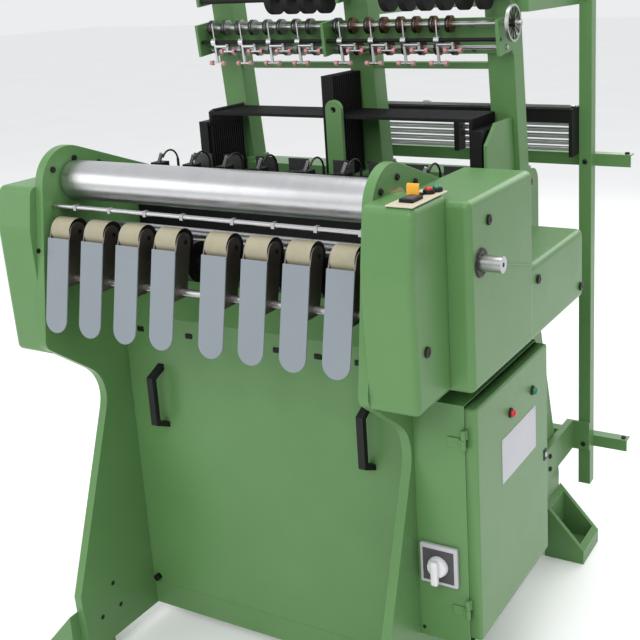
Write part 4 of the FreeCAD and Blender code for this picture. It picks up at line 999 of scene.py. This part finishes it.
@dataclass
class Feeders:
    """Feed pulleys, wheel, tension arms and their rail."""

    upper: tuple[float, float] = gantry(0.378, 0.045)
    lower: tuple[float, float] = gantry(0.321, 0.045)
    rail: tuple[float, float] = gantry(0.345, 0.077)
    arm_out: float = 0.077
    legs: tuple[tuple[float, float], ...] = ((0.0, 0.288), (0.040, 0.320))
    spread: float = 0.020
    half_eyelet: float = 0.0046
    eyelet_ring: tuple[float, float] = (0.0032, 0.0075)
    upper_rim: float = 0.0205
    lower_rim: float = 0.0185
    shaft: float = 0.0065
    wheel_x: float = 0.455
    spokes: tuple[float, float] = (0.0075, 0.038)
    rail_skin: float = 0.0056

    def eyes(self, centres: np.ndarray, _: np.ndarray) -> np.ndarray:
        """Faces of the eyelets at both ends of each crossbar."""
        found = np.zeros(len(centres), bool)
        near, far = self.eyelet_ring
        for shift, rise in self.legs:
            distance = off(centres, gantry(rise, self.arm_out))
            ring = (distance > near) & (distance < far)
            for feed in FEEDS:
                for side in (-self.spread, self.spread):
                    place = feed + shift + side
                    found |= ring & (np.abs(centres[:, 0] - place) < self.half_eyelet)
        return found

    def pulleys(self, node: str, place: tuple[float, float], rim: float) -> None:
        """Brown faces on the right half's discs and dark rims on all.

        Args:
            node: the shaft's node.
            place: its axis in y and z.
            rim: a radius just under the discs' rims.
        """
        def faces(centres: np.ndarray, normals: np.ndarray) -> np.ndarray:
            """Disc faces right of the middle."""
            side = (np.abs(normals[:, 0]) > FLAT) & (off(centres, place) > self.shaft)
            return side & (centres[:, 0] > 0.0) & (centres[:, 0] < OUTER_SHAFTS)

        def rims(centres: np.ndarray, normals: np.ndarray) -> np.ndarray:
            """Rims of the discs, without the wheel."""
            edge = (np.abs(normals[:, 0]) < FLAT) & (off(centres, place) > rim)
            return edge & (centres[:, 0] < OUTER_SHAFTS)

        repaint(node, Tone.COPPER, faces)
        repaint(node, Tone.BLACKED, rims)

    def build(self) -> None:
        """Dark rims, brown faces on the right discs, pink eyelets and a black rail."""
        def spokes(centres: np.ndarray, _: np.ndarray) -> np.ndarray:
            """Spokes of the wheel, between its hub and its rim."""
            distance = off(centres, self.upper)
            return ((centres[:, 0] > self.wheel_x) & (distance > self.spokes[0])
                    & (distance < self.spokes[1]))

        self.pulleys("upper_feeder_shaft", self.upper, self.upper_rim)
        self.pulleys("lower_feeder_shaft", self.lower, self.lower_rim)
        repaint("upper_feeder_shaft", Tone.BLACKED, spokes)
        repaint("tension_arms", Tone.PINK, self.eyes)
        repaint("feeder_brackets", Tone.BLACK,
                lambda centres, _: off(centres, self.rail) < self.rail_skin)
        LOG.info("feeders: %d tapes", len(FEEDS))


@dataclass
class StopMotion:
    """Warp stop motion behind the loom."""

    rods: tuple[float, float] = (0.588, 1.264)
    step: tuple[float, float] = (0.014, -0.020)
    count: int = 5
    bar: tuple[float, float] = (0.602, 1.310)
    skin: float = 0.0048
    inside: tuple[float, float] = (-0.158, 0.467)
    clamps: tuple[float, float] = (0.02, 0.30)
    clamp_half: tuple[float, float] = (0.011, 0.008)
    slat_half: tuple[float, float] = (0.0012, 0.0068)
    plate_y: tuple[float, float] = (0.5735, 0.576)
    plate_z: tuple[float, float] = (1.268, 1.303)
    bracket_low: tuple[float, float, float] = (0.118, 0.572, 1.176)
    bracket_high: tuple[float, float, float] = (0.134, 0.620, 1.303)

    def place(self, number: int) -> tuple[float, float]:
        """The (y, z) of a rod, each a step further back and down."""
        return self.rods[0] + number * self.step[0], self.rods[1] + number * self.step[1]

    def top(self, x0: float, x1: float) -> None:
        """Clamps on the bar, the strip in front of it and the plate below, from x0 to x1."""
        y, z = self.bar
        half_x, half_y = self.clamp_half
        joined([block((x - half_x, y - half_y, z - 0.0035), (x + half_x, y + half_y, z + 0.009))
                for x in self.clamps]).piece("stop_bar_clamps", "machine", Tone.SILVER,
                                             bevel=0.0015)
        block((x0, y - 0.013, z - 0.003), (x1, y - 0.009, z + 0.006)).piece(
            "stop_top_strip", "machine", Tone.SILVER, bevel=0.0008)
        block((x0, self.plate_y[0], self.plate_z[0]), (x1, self.plate_y[1], self.plate_z[1])).piece(
            "stop_drop_plate", "machine", Tone.BLACK, bevel=0.0005)

    def build(self) -> None:
        """Bright rods with contact bars round them, the top and a middle bracket."""
        start, end = self.inside

        def bright(centres: np.ndarray, _: np.ndarray) -> np.ndarray:
            """Faces of the rods and the bar between the end plates."""
            found = off(centres, self.bar) < self.skin
            for number in range(self.count):
                found |= off(centres, self.place(number)) < self.skin
            return found & (centres[:, 0] > start) & (centres[:, 0] < end)

        repaint("stop_motion", Tone.CHROME, bright)
        x0, x1 = start - SINK, end + SINK
        self.top(x0, x1)
        half_y, half_z = self.slat_half
        slats = [block((x0, y - half_y, z - half_z), (x1, y + half_y, z + half_z))
                 for y, z in map(self.place, range(self.count))]
        joined(slats).piece("stop_contact_bars", "machine", Tone.SILVER, bevel=0.0004)
        block(self.bracket_low, self.bracket_high).piece(
            "stop_middle_bracket", "machine", Tone.BLACK, bevel=0.002)
        LOG.info("stop motion: %d rods", self.count)


@dataclass
class Motor:
    """Cooling fins and fan cover of the drive motor."""

    x: tuple[float, float] = (0.150, 0.285)
    axis: tuple[float, float] = (0.150, 0.300)
    radius: float = 0.075
    root: float = 0.002
    fin: float = 0.006
    half_fin: float = 0.0014
    fins: int = 28
    cowl_x: float = 0.287

    def build(self) -> None:
        """Fins round the barrel and a pressed cowl behind them."""
        y, z = self.axis
        shells = []
        for angle in np.linspace(0, 2 * math.pi, self.fins, endpoint=False):
            out = np.array((math.cos(angle), math.sin(angle)))
            side = np.array((-out[1], out[0])) * self.half_fin
            near, far = out * (self.radius - self.root), out * (self.radius + self.fin)
            corners = (near - side, far - side, far + side, near + side)
            shells.append(prism([np.array((y, z)) + corner for corner in corners], "x", *self.x))
        joined(shells).piece("motor_fins", "machine", Tone.GREEN)
        r = self.radius
        cowl = [(0.0, r - 0.001), (0.0, r + 0.007), (0.050, r + 0.007), (0.060, r - 0.002),
                (0.060, r - 0.030), (0.0585, 0.0)]
        turned(cowl, (self.cowl_x, y, z), "x", 48).piece("motor_cowl", "machine", Tone.GREEN,
                                                         flip=True)
        LOG.info("motor: %d fins", self.fins)


@dataclass
class Studio:
    """Pale floor, soft lights and the camera."""

    place: tuple[float, float, float] = (1.3902, -2.1374, 1.6934)
    yaw: float = 0.499
    pitch: float = 0.258
    roll: float = -0.045
    lens: float = 57.87
    shift: tuple[float, float] = (-0.1206, -0.1208)

    def floor(self) -> None:
        """A wide flat sheet under the feet."""
        half = 30.0
        mesh = bpy.data.meshes.new("floor")
        corners = [(-half, -half, 0), (half, -half, 0), (half, half, 0), (-half, half, 0)]
        mesh.from_pydata(corners, [], [(0, 1, 2, 3)])
        floor = bpy.data.objects.new("floor", mesh)
        bpy.context.scene.collection.objects.link(floor)
        g = Graph("floor_paper")
        tones = g.ramp(g.noise(1.4, 3.0), 0,
                       ((0.3, (0.93, 0.93, 0.925)), (0.7, (0.95, 0.95, 0.945))))
        g.join(tones, 0, g.shader, "Base Color")
        g.shader.inputs["Roughness"].default_value = 0.75
        mesh.materials.append(g.material)

    def lamp(self, name: str, place: Sequence[float], aim: Sequence[float], size: float,
             watts: float) -> None:
        """A soft square lamp turned towards a point.

        Args:
            name: its name.
            place: where it hangs.
            aim: the point it faces.
            size: side in metres.
            watts: its power.
        """
        data = bpy.data.lights.new(name, "AREA")
        data.shape, data.size, data.energy = "SQUARE", size, watts
        lamp = bpy.data.objects.new(name, data)
        back = np.array(place, float) - np.array(aim, float)
        back /= np.linalg.norm(back)
        side = np.cross((0.0, 0.0, 1.0), back)
        side /= np.linalg.norm(side)
        up = np.cross(back, side)
        turn = Matrix([[*row] for row in np.stack([side, up, back], 1)]).to_4x4()
        turn.translation = place
        lamp.matrix_world = turn
        bpy.context.scene.collection.objects.link(lamp)

    def camera(self) -> None:
        """The camera: yaw, pitch and roll give its three axes."""
        forward = np.array([-math.sin(self.yaw) * math.cos(self.pitch),
                            math.cos(self.yaw) * math.cos(self.pitch), -math.sin(self.pitch)])
        right = np.array([math.cos(self.yaw), math.sin(self.yaw), 0.0])
        up = np.cross(right, forward)
        c, s = math.cos(self.roll), math.sin(self.roll)
        axes = np.stack([c * right + s * up, c * up - s * right, -forward], 1)
        turn = Matrix([[*row] for row in axes]).to_4x4()
        turn.translation = self.place
        data = bpy.data.cameras.new("camera")
        data.lens, data.sensor_width = self.lens, 36.0
        data.shift_x, data.shift_y = self.shift
        camera = bpy.data.objects.new("camera", data)
        camera.matrix_world = turn
        bpy.context.scene.collection.objects.link(camera)
        bpy.context.scene.camera = camera

    def build(self) -> None:
        """Puts the whole studio up."""
        self.floor()
        self.camera()
        self.lamp("key", (0.9, -3.9, 3.5), (0, 0, 0.9), 2.2, 92.0)
        self.lamp("fill", (-3.0, -3.0, 2.2), (0, 0, 0.8), 2.4, 28.0)
        self.lamp("top", (0.4, 0.2, 4.6), (0.1, 0.1, 0.9), 2.6, 95.0)
        self.lamp("rear", (0.6, 4.0, 3.0), (0, 0, 1.0), 2.6, 60.0)
        world = bpy.data.worlds.new("room")
        world.use_nodes = True
        world.node_tree.nodes["Background"].inputs[0].default_value = (0.97, 0.985, 1.0, 1.0)
        world.node_tree.nodes["Background"].inputs[1].default_value = 0.86
        bpy.context.scene.world = world
        bpy.context.scene.view_settings.view_transform = "Standard"


def main() -> None:
    """Dresses the nodes, adds each sub-assembly's detail and reports it."""
    logging.basicConfig(level=logging.INFO, format="%(name)s: %(message)s")
    Studio().build()
    dress_nodes()
    LOG.info("finishes on %d nodes", len(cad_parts))
    for assembly in (TakeUp(), Console(), Cabinet(), GearCovers(), Fasteners(), FrameMarks(),
                     Weaving(), Feeders(), StopMotion(), Motor()):
        assembly.build()


if __name__ == "__main__":
    main()
